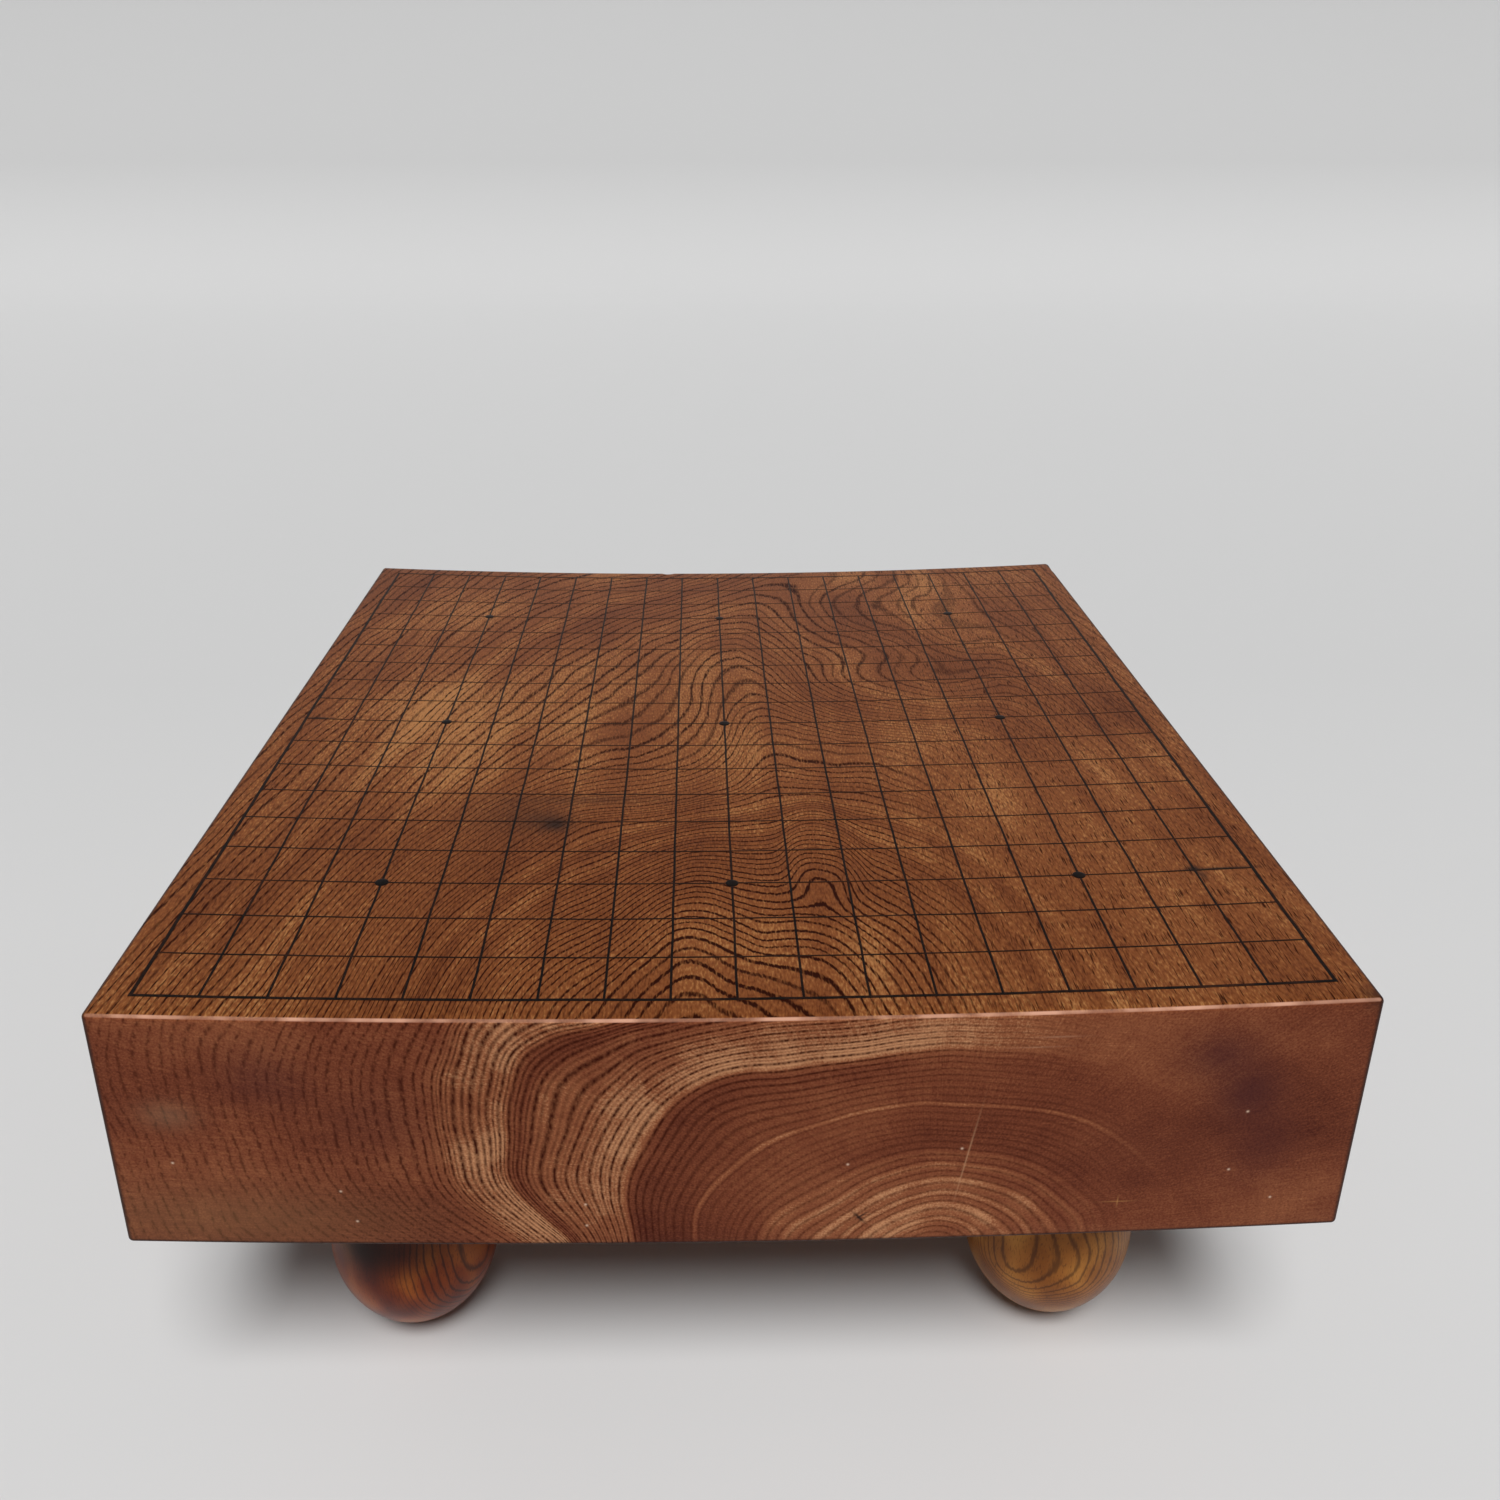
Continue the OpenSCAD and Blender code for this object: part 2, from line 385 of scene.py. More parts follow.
def face_pores(tree, place, noise, rings):
    """How far the dark pores of the faces along the grain show: lines at the rings, and flecks."""
    part = add(tree, PARTS, {0: place}).node.outputs
    right = add(tree, RANGE, {0: part["X"], **RIGHT_SIDE})
    beside = add(tree, RANGE, {0: part["Z"], 1: SIDE_FROM, 2: SIDE_TO})
    broken = add(tree, RANGE, {0: noise["pores"], **LINE_BREAKS})
    weak = add(tree, RANGE, {0: part["Y"], **RIGHT_LINES})
    shown = add(tree, RANGE, {0: right, 3: 1.0, 4: weak})
    shown = add(tree, RANGE, {0: beside, 3: shown, 4: SIDE_LINES})
    faint = add(tree, RANGE, {0: ring_noise(tree, rings, RING_EACH), **RING_FAINT})
    bold = hump(tree, place, BOLD_PLACE, BOLD_REACH)
    bold = add(tree, MATH, {0: bold, 1: BOLD_MORE, 2: 1.0}, operation="MULTIPLY_ADD")
    gone = add(tree, RANGE, {0: beside, 3: FACE_LINE_GONE, 4: SIDE_LINE_GONE})
    line = line_at(tree, rings, LINE_FULL, gone)
    for share in (broken, shown, faint, bold):
        line = add(tree, MATH, {0: line, 1: share}, operation="MULTIPLY")
    fleck = add(tree, RANGE, {0: noise["flecks"], **FACE_FLECKS})
    crowd = add(tree, RANGE, {0: right, **RIGHT_FLECKS})
    fleck = add(tree, MATH, {0: fleck, 1: crowd}, operation="MULTIPLY")
    return add(tree, MATH, {0: line, 1: fleck}, operation="MAXIMUM")


print(f"lines reach {FACE_LINE_GONE} mm from each ring on the face and {SIDE_LINE_GONE} mm on the sides")

# %% [markdown]
# ## The end grain
# End grain drinks more oil, so it is redder and duller. How pale the wood is, and how dark its lines
# are, both follow the rings outwards: pale arcs round the heart, a plain dark zone, then pale bands
# between dark lines. Colour ramps along the ring distance say so. To the right of the heart all of
# this fades into plain wood. Fine rays run out from the heart across the rings and catch the light as
# pale hairs, so a noise that is stretched along the way out from the heart lies over everything.

# %% What follows the rings on the end grain
RING_REACH = 200.0
END_PALENESS = [
    # distance from the heart in millimetres, how pale
    (12, 0.55), (15, 0.85), (17, 0.60), (20, 0.90), (22, 0.55), (24, 0.50), (26, 0.80), (28, 0.48),
    (31, 0.85), (33, 0.50), (36, 0.48), (38.5, 0.82), (40.5, 0.42), (44, 0.62), (46, 0.38), (65, 0.30),
    (66.2, 0.75), (67.4, 0.32), (76, 0.30), (86, 0.22), (89, 0.42), (91, 0.94), (99, 0.86), (107, 0.74),
    (112, 0.66), (115.5, 0.34), (118, 0.44), (121, 0.96), (130, 0.80), (139, 0.44), (165, 0.37),
]
END_LINES = [
    # distance from the heart in millimetres, how strong the lines are
    (20, 0.65), (45, 0.55), (62, 0.40), (80, 0.75), (90, 1.0), (134, 1.0), (150, 0.80), (190, 0.62),
]
END_CLOSE = [
    # distance from the heart in millimetres, how strong a second line between the rings is
    (88, 0.0), (93, 0.45), (111, 0.45), (116, 0.8), (132, 0.8), (138, 0.0),
]
# features of the rays in each radian round the heart, and their length in millimetres
RAYS_ROUND, RAY_LENGTH = 240.0, 16.0


def by_distance(tree, rings, steps):
    """A number that follows the ring distance, read from a ramp of greys."""
    out = add(tree, MATH, {0: rings, 1: RING_REACH}, operation="DIVIDE")
    return add(tree, RAMP, {0: out}, stops=[(d / RING_REACH, (s, s, s, 1.0)) for d, s in steps])


def rays_from_heart(tree, place):
    """A noise of fine hairs that run straight out from the heart."""
    away = add(tree, VECTOR, {0: place, 1: (HEART_X, 0, HEART_DEPTH)}, operation="SUBTRACT")
    part = add(tree, PARTS, {0: away}).node.outputs
    turn = add(tree, MATH, {0: part["Z"], 1: part["X"]}, operation="ARCTAN2")
    turn = add(tree, MATH, {0: turn, 1: RAYS_ROUND}, operation="MULTIPLY")
    flat = add(tree, XYZ, {"X": part["X"], "Y": part["Z"]})
    out = add(tree, VECTOR, {0: flat}, out="Value", operation="LENGTH")
    out = add(tree, MATH, {0: out, 1: RAY_LENGTH}, operation="DIVIDE")
    along = add(tree, XYZ, {"X": turn, "Y": out})
    return add(tree, NOISE, {"Vector": along, "Scale": 1.0, "Detail": 2.0})


print(len(END_PALENESS), "steps of paleness from the heart outwards")

# %% Tones of the end grain
END_TONES = [(0.0, "#4c1b0a"), (0.38, "#733a22"), (0.70, "#915636"), (1.0, "#bf875f")]
END_WEIGHTS = {"clouds": 0.8, "streaks": 0.20, "speckle": 0.62}
RAY_WEIGHT = 0.40
PLAIN_PALENESS = 0.34
BAND_PATCHES = {1: 0.36, 2: 0.56, 3: 0.72, 4: 1.0}
END_SCRATCHES = {1: 0.62, 2: 0.74, 3: 0.0, 4: 0.12}
# the outer rings fade towards the right sooner than those in the zone round the heart
OUTER_FADE, INNER_FADE = {1: 45, 2: 125, 3: 1.0, 4: 0.10}, {1: 105, 2: 145, 3: 1.0, 4: 0.10}
INNER_ZONE = {1: 68, 2: 76, 3: 1.0, 4: 0.0}


def end_figure(tree, place, rings):
    """One where the end grain shows its rings, and little where it fades to the right."""
    part = add(tree, PARTS, {0: place}).node.outputs
    outer = add(tree, RANGE, {0: part["X"], **OUTER_FADE})
    inner = add(tree, RANGE, {0: part["X"], **INNER_FADE})
    near = add(tree, RANGE, {0: rings, **INNER_ZONE})
    return add(tree, MIX, {0: near, 2: outer, 3: inner})


def end_tone(tree, place, noise, rings, figured):
    """Colour of the end grain, before its lines."""
    patchy = add(tree, RANGE, {0: noise["ripple"], **BAND_PATCHES})
    banded = add(tree, MATH, {0: figured, 1: patchy}, operation="MULTIPLY")
    pale = add(tree, MIX, {0: banded, 2: PLAIN_PALENESS, 3: by_distance(tree, rings, END_PALENESS)})
    rays = rays_from_heart(tree, place)
    # the noises lie round one half, and this start lets them shift the paleness both ways
    tone = -(sum(END_WEIGHTS.values()) + RAY_WEIGHT) / 2
    for name, weight in END_WEIGHTS.items():
        tone = add(tree, MATH, {0: noise[name], 1: weight, 2: tone}, operation="MULTIPLY_ADD")
    tone = add(tree, MATH, {0: rays, 1: RAY_WEIGHT, 2: tone}, operation="MULTIPLY_ADD")
    scratch = add(tree, RANGE, {0: noise["scratches"], **END_SCRATCHES})
    for more in (pale, scratch):
        tone = add(tree, MATH, {0: tone, 1: more}, operation="ADD")
    return add(tree, RAMP, {0: tone}, stops=[(p, colour(c)) for p, c in END_TONES])


print(len(END_TONES), "tones of end grain, from dark to pale")

# %% Lines of the end grain
END_PORE_BROWN = "#360f04"
END_LINE_FULL, END_LINE_GONE = 0.0, 0.85
CLOSE_LINE_FULL, CLOSE_LINE_GONE = 0.05, 0.50
# the lines break up into dashes, and far from the heart nothing is left between those
END_DASHES, DASH_GAPS = {1: 0.36, 2: 0.62, 4: 1.0}, {1: 130, 2: 150, 3: 0.55, 4: 0.0}
END_FLECKS = {1: 0.58, 2: 0.74, 3: 0.0, 4: 0.40}


def end_pores(tree, noise, rings, figured):
    """How far the dark lines and flecks of the end grain show."""
    gaps = add(tree, RANGE, {0: rings, **DASH_GAPS})
    broken = add(tree, RANGE, {0: noise["dashes"], 3: gaps, **END_DASHES})
    between = add(tree, MATH, {0: rings, 1: RING_STEP / 2}, operation="ADD")
    second = line_at(tree, between, CLOSE_LINE_FULL, CLOSE_LINE_GONE)
    close = by_distance(tree, rings, END_CLOSE)
    second = add(tree, MATH, {0: second, 1: close}, operation="MULTIPLY")
    line = line_at(tree, rings, END_LINE_FULL, END_LINE_GONE)
    line = add(tree, MATH, {0: line, 1: second}, operation="MAXIMUM")
    for share in (broken, by_distance(tree, rings, END_LINES), figured):
        line = add(tree, MATH, {0: line, 1: share}, operation="MULTIPLY")
    fleck = add(tree, RANGE, {0: noise["flecks"], **END_FLECKS})
    return add(tree, MATH, {0: line, 1: fleck}, operation="MAXIMUM")


print(f"lines reach {END_LINE_GONE} mm from each ring, and {CLOSE_LINE_GONE} mm where they lie close")

# %% [markdown]
# ## Marks of age
# A burn, an ink blot, dark bruises, a chalky smudge, a radial check, scratches and a few pale specks
# show on this board. They could be painted into a picture that is wrapped round the block, but that
# would need a UV map and a file beside the script. Here each is a small hump of another colour.

# %% Marks on the wood
MARKS = [
    # x, y, depth, reach in x, y and depth, lean, strength, colour
    (-71, -97, 0, 5, 5, 9, 0, 0.95, "#170d09"),
    (-75, -94, 0, 9, 8, 9, 0, 0.55, "#2a170e"),
    (-88, -90, 0, 20, 16, 9, 0, 0.35, "#3a2012"),
    (-60, -76, 0, 34, 4, 9, 0, 0.40, "#331a0d"),
    (176, -141, 0, 2.6, 2.2, 9, 0, 0.95, "#0e0a08"),
    (178, -146, 0, 1.6, 3.0, 9, 0, 0.60, "#1c120e"),
    (187, -141.6, 0, 12, 0.9, 9, 0, 0.90, "#0e0a08"),
    (-192, 0.9, 0, 6, 0.9, 9, 0, 0.90, "#0e0a08"),
    (208, -222, 0, 5, 5, 5, 0, 0.75, "#2a1209"),
    (160, -224, 20, 13, 9, 10, 0, 0.56, "#391219"),
    (172, -224, 37, 12, 9, 13, 0, 0.66, "#371218"),
    (181, -224, 60, 13, 9, 16, 0, 0.42, "#3f1618"),
    (145, -224, 58, 26, 9, 20, 0, 0.25, "#45180f"),
    (-157, -224, 25, 14, 9, 12, 0, 0.35, "#3d1a1c"),
    (-122, -224, 42, 20, 9, 16, 0, 0.25, "#44201a"),
    (-190, -224, 41, 9, 9, 6, 0, 0.18, "#9a8468"),
    (-175, -224, 88, 60, 9, 16, 0, 0.25, "#8a6a48"),
    (79, -224, 61, 0.30, 9, 17, -0.147, 0.40, "#c89a74"),
    (43, -224, 88, 0.8, 9, 2.6, 0.8, 0.95, "#1a0b06"),
    (44, -224, 87, 0.6, 9, 1.8, -1.2, 0.90, "#1a0b06"),
    (134, -224, 84, 5, 9, 0.25, 0, 0.40, "#c08a50"),
    (134, -224, 84, 0.25, 9, 2.2, 0, 0.40, "#c08a50"),
    (105, -224, 10, 7, 9, 0.4, 0, 0.35, "#b5866a"),
    (98, -224, 14, 9, 9, 0.3, 0, 0.30, "#b5866a"),
]
SPECKS = [
    # x and depth on the near end
    (173, 45), (171, 71), (188, 85), (77, 57), (38, 63),
    (-53, 80), (-53, 90), (-133, 88), (-192, 62), (-137, 74),
]
# reach in x, y and depth, lean, strength, colour
SPECK = (0.45, 0.45, 0.45, 0, 0.85, "#d9b9a0")


def stained(tree, place, paint, centre, reach, strength, stain, lean=0.0):
    """Lays one spot of another colour over the paint."""
    spot = hump(tree, place, centre, reach, lean=lean)
    spot = add(tree, MATH, {0: spot, 1: strength}, operation="MULTIPLY")
    return add(tree, MIX, {0: spot, 6: paint, 7: colour(stain)}, out=2, data_type="RGBA")


def marked(tree, place, paint):
    """Lays each mark and speck over the wood's own colour."""
    specks = [(x, -HALF_LENGTH, depth) + SPECK for x, depth in SPECKS]
    for x, y, depth, reach_x, reach_y, reach_depth, lean, strength, mark in MARKS + specks:
        reach = (reach_x, reach_y, reach_depth)
        paint = stained(tree, place, paint, (x, y, depth), reach, strength, mark, lean)
    return paint


print(len(MARKS), "marks and", len(SPECKS), "specks")

# %% [markdown]
# ## Worn edges and a painted highlight
# Hands have rubbed the arris between the face and the near end pale, and the other edges have gone dark
# with grime. The pale arris is also a painted highlight, for the light that its round catches. A Bevel
# node or Pointiness could find the edges, but the first is slow and the second depends on the mesh.
# Here an edge is simply where the distances to two faces are both small.

# %% Worn and grimy edges, and a painted highlight on the near arris
# pale wear on the near arris, together with a painted highlight where its round catches the light
ARRIS_WEAR_AND_HIGHLIGHT = "#cf9a80"
EDGE_GRIME = "#24100a"
EDGE_FULL = 1.2
ARRIS_PATCHES = {1: 0.40, 2: 0.62, 3: 0.28, 4: 1.0}
SIDE_LEAN = FACE_WIDTH / 2 / CUP_RADIUS


def edge_wear_and_highlight(tree, place, noise, paint):
    """Pales the near arris, part wear and part painted highlight, and darkens the other edges."""
    part = add(tree, PARTS, {0: place}).node.outputs
    out_x = add(tree, MATH, {0: part["X"]}, operation="ABSOLUTE")
    side = add(tree, MATH, {0: part["Z"], 1: SIDE_LEAN, 2: HALF_WIDTH}, operation="MULTIPLY_ADD")
    from_side = add(tree, MATH, {0: side, 1: out_x}, operation="SUBTRACT")
    from_near = add(tree, MATH, {0: part["Y"], 1: HALF_LENGTH}, operation="ADD")
    from_back = add(tree, MATH, {0: HALF_LENGTH, 1: part["Y"]}, operation="SUBTRACT")
    from_end = add(tree, MATH, {0: from_near, 1: from_back}, operation="MINIMUM")
    from_top = part["Z"]
    from_under = add(tree, MATH, {0: BLOCK_THICK / MM, 1: part["Z"]}, operation="SUBTRACT")
    patchy = add(tree, RANGE, {0: noise["ripple"], **ARRIS_PATCHES})
    edges = [
        # the two faces, reach in millimetres, strength, colour: grime, and on the near arris wear with a
        # painted highlight
        (from_side, from_end, 2.7, 0.90, EDGE_GRIME),
        (from_side, from_top, 2.3, 0.85, EDGE_GRIME),
        (from_side, from_under, 2.4, 0.80, EDGE_GRIME),
        (from_end, from_under, 2.6, 0.90, EDGE_GRIME),
        (from_back, from_top, 2.6, 0.85, EDGE_GRIME),
        # the near arris: pale wear and a painted highlight
        (from_near, from_top, 1.4, patchy, ARRIS_WEAR_AND_HIGHLIGHT),
    ]
    for first, second, reach, strength, worn in edges:
        away = add(tree, MATH, {0: first, 1: second}, operation="ADD")
        bare = add(tree, RANGE, {0: away, 1: EDGE_FULL, 2: reach, 3: 1.0, 4: 0.0},
                   interpolation_type="SMOOTHSTEP")
        bare = add(tree, MATH, {0: bare, 1: strength}, operation="MULTIPLY")
        paint = add(tree, MIX, {0: bare, 6: paint, 7: colour(worn)}, out=2, data_type="RGBA")
    return paint


print(f"the sides lean out by {SIDE_LEAN:.3f} mm in each millimetre of depth")

# %% [markdown]
# ## The whole wood
# The parts above are put together into one material for the whole block. Which of face and end grain a
# place shows depends only on how near it is to an end. Years of oil and hands leave a satin face and
# duller end grain, and the open pores shine less than the wood round them and lie a little lower.

# %% The whole material of the block
END_FROM, END_FULL = HALF_LENGTH - 1.0, HALF_LENGTH - 0.4
WOOD_IOR = 1.5
FACE_ROUGH, END_ROUGH = 0.40, 0.50
WOOD_SHINE, PORE_SHINE = 0.10, 0.03
PORE_BUMP, PORE_DEPTH = 0.2, 0.15 * MM


def block_wood():
    """Ring-porous hardwood, oiled and handled for years: satin on the face, duller on the end grain."""
    made = empty_material("old_oiled_hardwood")
    tree = made.node_tree
    place = wood_place(tree)
    part = add(tree, PARTS, {0: place}).node.outputs
    out_y = add(tree, MATH, {0: part["Y"]}, operation="ABSOLUTE")
    end = add(tree, RANGE, {0: out_y, 1: END_FROM, 2: END_FULL})
    noise = grain_noises(tree, place, GRAIN_SIZES)
    rings = ring_distance(tree, place, noise, end)
    figured = end_figure(tree, place, rings)
    tones = {6: face_tone(tree, place, noise, rings), 7: end_tone(tree, place, noise, rings, figured)}
    paint = add(tree, MIX, {0: end, **tones}, out=2, data_type="RGBA")
    shown = {2: face_pores(tree, place, noise, rings), 3: end_pores(tree, noise, rings, figured)}
    pores = add(tree, MIX, {0: end, **shown})
    browns = {6: colour(PORE_BROWN), 7: colour(END_PORE_BROWN)}
    fill = add(tree, MIX, {0: end, **browns}, out=2, data_type="RGBA")
    paint = add(tree, MIX, {0: pores, 6: paint, 7: fill}, out=2, data_type="RGBA")
    paint = marked(tree, place, paint)
    paint = edge_wear_and_highlight(tree, place, noise, paint)
    rough = add(tree, RANGE, {0: end, 3: FACE_ROUGH, 4: END_ROUGH})
    shine = add(tree, RANGE, {0: pores, 3: WOOD_SHINE, 4: PORE_SHINE})
    height = add(tree, MATH, {0: pores, 1: -1.0}, operation="MULTIPLY")
    bump = add(tree, "ShaderNodeBump", {"Height": height, "Strength": PORE_BUMP, "Distance": PORE_DEPTH})
    shader = add(tree, "ShaderNodeBsdfPrincipled", {
        "Base Color": paint, "Roughness": rough, "IOR": WOOD_IOR, "Specular IOR Level": shine,
        "Normal": bump,
    })
    add(tree, "ShaderNodeOutputMaterial", {"Surface": shader})
    return made


oiled_hardwood = block_wood()
print(oiled_hardwood.name, "has", len(oiled_hardwood.node_tree.nodes), "nodes")

# %% [markdown]
# ## The block
# A plain cube would have knife edges, and its six faces could not bend. So the block is a grid over all
# six faces with extra lines near each edge. Every point near an edge is pulled onto a round of two
# millimetres, and the whole grid is then bent to the cup.

# %% A grid over a box
EDGE_ROUND = 2.0 * MM
GRID_STEP = 6 * MM
# lines at these angles share out a round evenly, and the one at 45 degrees lies on its middle
ROUND_STEPS = [math.tan(math.radians(a)) for a in (45, 30, 15)]


def grid_stops(half):
    """Places of the grid lines along one direction, crowded where the edges are rounded."""
    count = round(2 * (half - EDGE_ROUND) / GRID_STEP)
    middle = np.linspace(EDGE_ROUND - half, half - EDGE_ROUND, count + 1)
    last = half - EDGE_ROUND * (1 - np.array(ROUND_STEPS[::-1]))
    return np.concatenate((-last[::-1], middle, last))


def grid_face(mesh, stops, axis, side):
    """One face of the box, as a grid of quads."""
    first, second = (a for a in range(3) if a != axis)
    rows = []
    for u in stops[first]:
        row = []
        for v in stops[second]:
            place = [0.0, 0.0, 0.0]
            place[first], place[second], place[axis] = u, v, side * stops[axis][-1]
            row.append(mesh.verts.new(place))
        rows.append(row)
    for near, far in zip(rows, rows[1:]):
        for a, b, c, d in zip(near, near[1:], far[1:], far):
            mesh.faces.new((a, b, c, d))


print(len(grid_stops(FACE_WIDTH / 2)), "grid lines across the width")

# %% Round the edges and bend the block
SAME_POINT = 0.01 * MM


def rounded_slab():
    """The block before it is bent, with its middle at the origin."""
    half = np.array((FACE_WIDTH, BLOCK_LENGTH, BLOCK_THICK)) / 2
    stops = [grid_stops(h) for h in half]
    mesh = bmesh.new()
    for axis in range(3):
        for side in (-1, 1):
            grid_face(mesh, stops, axis, side)
    bmesh.ops.remove_doubles(mesh, verts=mesh.verts, dist=SAME_POINT)
    bmesh.ops.recalc_face_normals(mesh, faces=mesh.faces)
    for vert in mesh.verts:
        inner = np.clip(np.array(vert.co), EDGE_ROUND - half, half - EDGE_ROUND)
        out = np.array(vert.co) - inner
        vert.co = inner + out / np.linalg.norm(out) * EDGE_ROUND
    return mesh


def shown_object(name, mesh, material):
    """Links a bmesh to the scene as an object with one material."""
    data = bpy.data.meshes.new(name)
    mesh.to_mesh(data)
    mesh.free()
    data.materials.append(material)
    made = bpy.data.objects.new(name, data)
    bpy.context.scene.collection.objects.link(made)
    return made


slab = rounded_slab()
for vert in slab.verts:
    vert.co = on_cup([(vert.co.x, vert.co.y, vert.co.z - BLOCK_THICK / 2)])[0]
block = shown_object("worn_block", slab, oiled_hardwood)
print("block grid:", len(block.data.polygons), "faces")

# %% [markdown]
# ## Mortises, the square hollow and chips
# Each foot plugs into a round mortise, and the carver has cut a square hollow in the middle of the
# underside, as on most footed boards. Knocks have chipped the edges. These could be modelled into the
# grid by hand, but a boolean leaves the rest of it in peace, so all cutters go into one mesh first.

# %% Cutters for the underside
FOOT_X = 125.5 * MM
FOOT_Y = BLOCK_LENGTH / 2 - 56 * MM
FOOT_SIDES = [(-1, -1), (1, -1), (-1, 1), (1, 1)]
TENON_ROUND = 13 * MM
TENON_LENGTH = 38 * MM
TENON_GAP = 0.05 * MM
MORTISE_ROOM = 2 * MM
MORTISE_SIDES = 64
HOLLOW_MOUTH = 90 * MM
HOLLOW_FLOOR = 40 * MM
HOLLOW_DEPTH = 24 * MM
EIGHTH_TURN = math.radians(45)
PAST = 1 * MM


def under_foot(side, end):
    """The place on the underside where a foot's middle meets it, with Z square to the block."""
    swing = Matrix.Rotation(-side * FOOT_X / CUP_RADIUS, 4, "Y")
    drop = Matrix.Translation((0, end * FOOT_Y, -CUP_RADIUS - BLOCK_THICK))
    return Matrix.Translation((0, 0, BEND_Z)) @ swing @ drop


def mortise_cutters(mesh):
    """Four round plugs, a little longer and wider than the tenons."""
    depth = TENON_LENGTH + MORTISE_ROOM + PAST
    bore = TENON_ROUND + TENON_GAP
    for side, end in FOOT_SIDES:
        middle = under_foot(side, end) @ Matrix.Translation((0, 0, depth / 2 - PAST))
        bmesh.ops.create_cone(mesh, cap_ends=True, segments=MORTISE_SIDES, depth=depth, matrix=middle,
                              radius1=bore, radius2=bore)


def hollow_cutter(mesh):
    """A flat-topped pyramid that runs a little past the mouth of the hollow."""
    slope = (HOLLOW_MOUTH - HOLLOW_FLOOR) / HOLLOW_DEPTH
    depth = HOLLOW_DEPTH + PAST
    low = block_low.z - PAST
    middle = Matrix.Translation((0, 0, low + depth / 2)) @ Matrix.Rotation(EIGHTH_TURN, 4, "Z")
    # a square is a cone of four sides, whose radius reaches to its corners
    bmesh.ops.create_cone(mesh, cap_ends=True, segments=4, depth=depth, matrix=middle,
                          radius1=(HOLLOW_MOUTH + slope * PAST) / math.sqrt(2),
                          radius2=HOLLOW_FLOOR / math.sqrt(2))


cuts = bmesh.new()
mortise_cutters(cuts)
hollow_cutter(cuts)
print("cutters for the underside:", len(cuts.faces), "faces")

# %% Chips in the edges
CHIPS = [
    # x, y and height above the face, then reach in x, y and height, in millimetres
    (-31, 224.5, 0.5, 5.0, 4.0, 1.8),
    (-8, 225, 0.4, 3.0, 1.8, 1.2),
    (211.5, 213, 0.4, 3.4, 10.0, 2.6),
    (211.5, 225.5, 0.0, 5.0, 5.0, 3.0),
    (211.5, -225.5, 0.3, 3.2, 3.2, 2.6),
    (212, -225, -101, 3.0, 4.0, 6.0),
    (211, -62, 0.6, 2.0, 4.5, 1.6),
    (211, -30, 0.6, 1.8, 3.0, 1.2),
    (211, 96, 0.6, 1.8, 3.5, 1.2),
    (-211, -120, 0.6, 1.8, 4.0, 1.2),
    (120, -225.5, 0.6, 4.0, 2.2, 1.2),
    (-95, -225.5, 0.6, 3.0, 2.0, 1.2),
]


def chip_cutters(mesh):
    """Small flattened balls where the edges of the block are chipped."""
    for x, y, height, *reach in CHIPS:
        middle = on_cup([(x * MM, y * MM, height * MM)])[0]
        shape = Matrix.Translation(middle) @ Matrix.Diagonal([r * MM for r in reach] + [1.0])
        bmesh.ops.create_icosphere(mesh, subdivisions=2, radius=1.0, matrix=shape)


chip_cutters(cuts)
print(len(CHIPS), "chips")

# %% [markdown]
# ## Cutting
# A boolean modifier takes the cutters out of the block. Its result is read back from the evaluated
# object as a plain mesh, so that no modifier and no cutter is left behind. Then faces are smoothed and
# the edges that turn sharply are kept sharp.

# %% Cut the block
SHARP_FROM = 35


def plain_mesh(piece):
    """Replaces a piece's mesh with what its modifiers make of it, and removes the modifiers."""
    seen = piece.evaluated_get(bpy.context.evaluated_depsgraph_get())
    made = bpy.data.meshes.new_from_object(seen)
    piece.modifiers.clear()
    piece.data = made
    made.name = piece.name


def crease(piece):
    """Smooth faces, with sharp edges where the surface turns by more than the set angle."""
    mesh = bmesh.new()
    mesh.from_mesh(piece.data)
    for face in mesh.faces:
        face.smooth = True
    for edge in mesh.edges:
        edge.smooth = edge.calc_face_angle(0.0) < math.radians(SHARP_FROM)
    mesh.to_mesh(piece.data)
    mesh.free()


cutter = shown_object("underside_cutter", cuts, oiled_hardwood)
block.modifiers.new("underside", "BOOLEAN").object = cutter
plain_mesh(block)
bpy.data.objects.remove(cutter)
crease(block)
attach(block, "board")
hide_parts("board_block")
print("cut block:", len(block.data.polygons), "faces")

# %% [markdown]
# ## Wood for the feet
# The feet were turned from other wood than the block, so each has rings of its own. On a bulb, a ring
# shows as a closed loop round the side that faces away from the heart. Each foot therefore gets its own
# heart, and a stretch that makes its loops long or round. They were waxed on the lathe and are glossier
# than the block. The near left one is dark at its top under the block, partly from a stain and partly
# from painted shade of the block above it.

# %% Rings of a foot
FOOT_RING = 2.1
FOOT_GRAIN = {
    # x, y and z of one feature, in millimetres: here the fibres stand upright
    "drift": (18, 18, 30),
    "fibre": (0.8, 0.8, 6),
    "flecks": (0.5, 0.5, 2.4),
    "clouds": (16, 16, 22),
}
FOOT_SWAY = {"drift": 4.0, "fibre": 0.7}


def foot_rings(tree, place, noise, heart, stretch):
    """The distance from the foot's own heart, stretched and swaying."""
    away = add(tree, VECTOR, {0: place, 1: heart}, operation="SUBTRACT")
    away = add(tree, VECTOR, {0: away, 1: stretch}, operation="DIVIDE")
    rings = add(tree, VECTOR, {0: away}, out="Value", operation="LENGTH")
    for name, sway in FOOT_SWAY.items():
        rings = add(tree, MATH, {0: noise[name], 1: sway, 2: rings}, operation="MULTIPLY_ADD")
    return rings


print("a ring every", FOOT_RING, "mm in the feet, before each is stretched")

# %% Turned and waxed hardwood
FOOT_LINE_FULL, FOOT_LINE_GONE = 0.05, 0.50
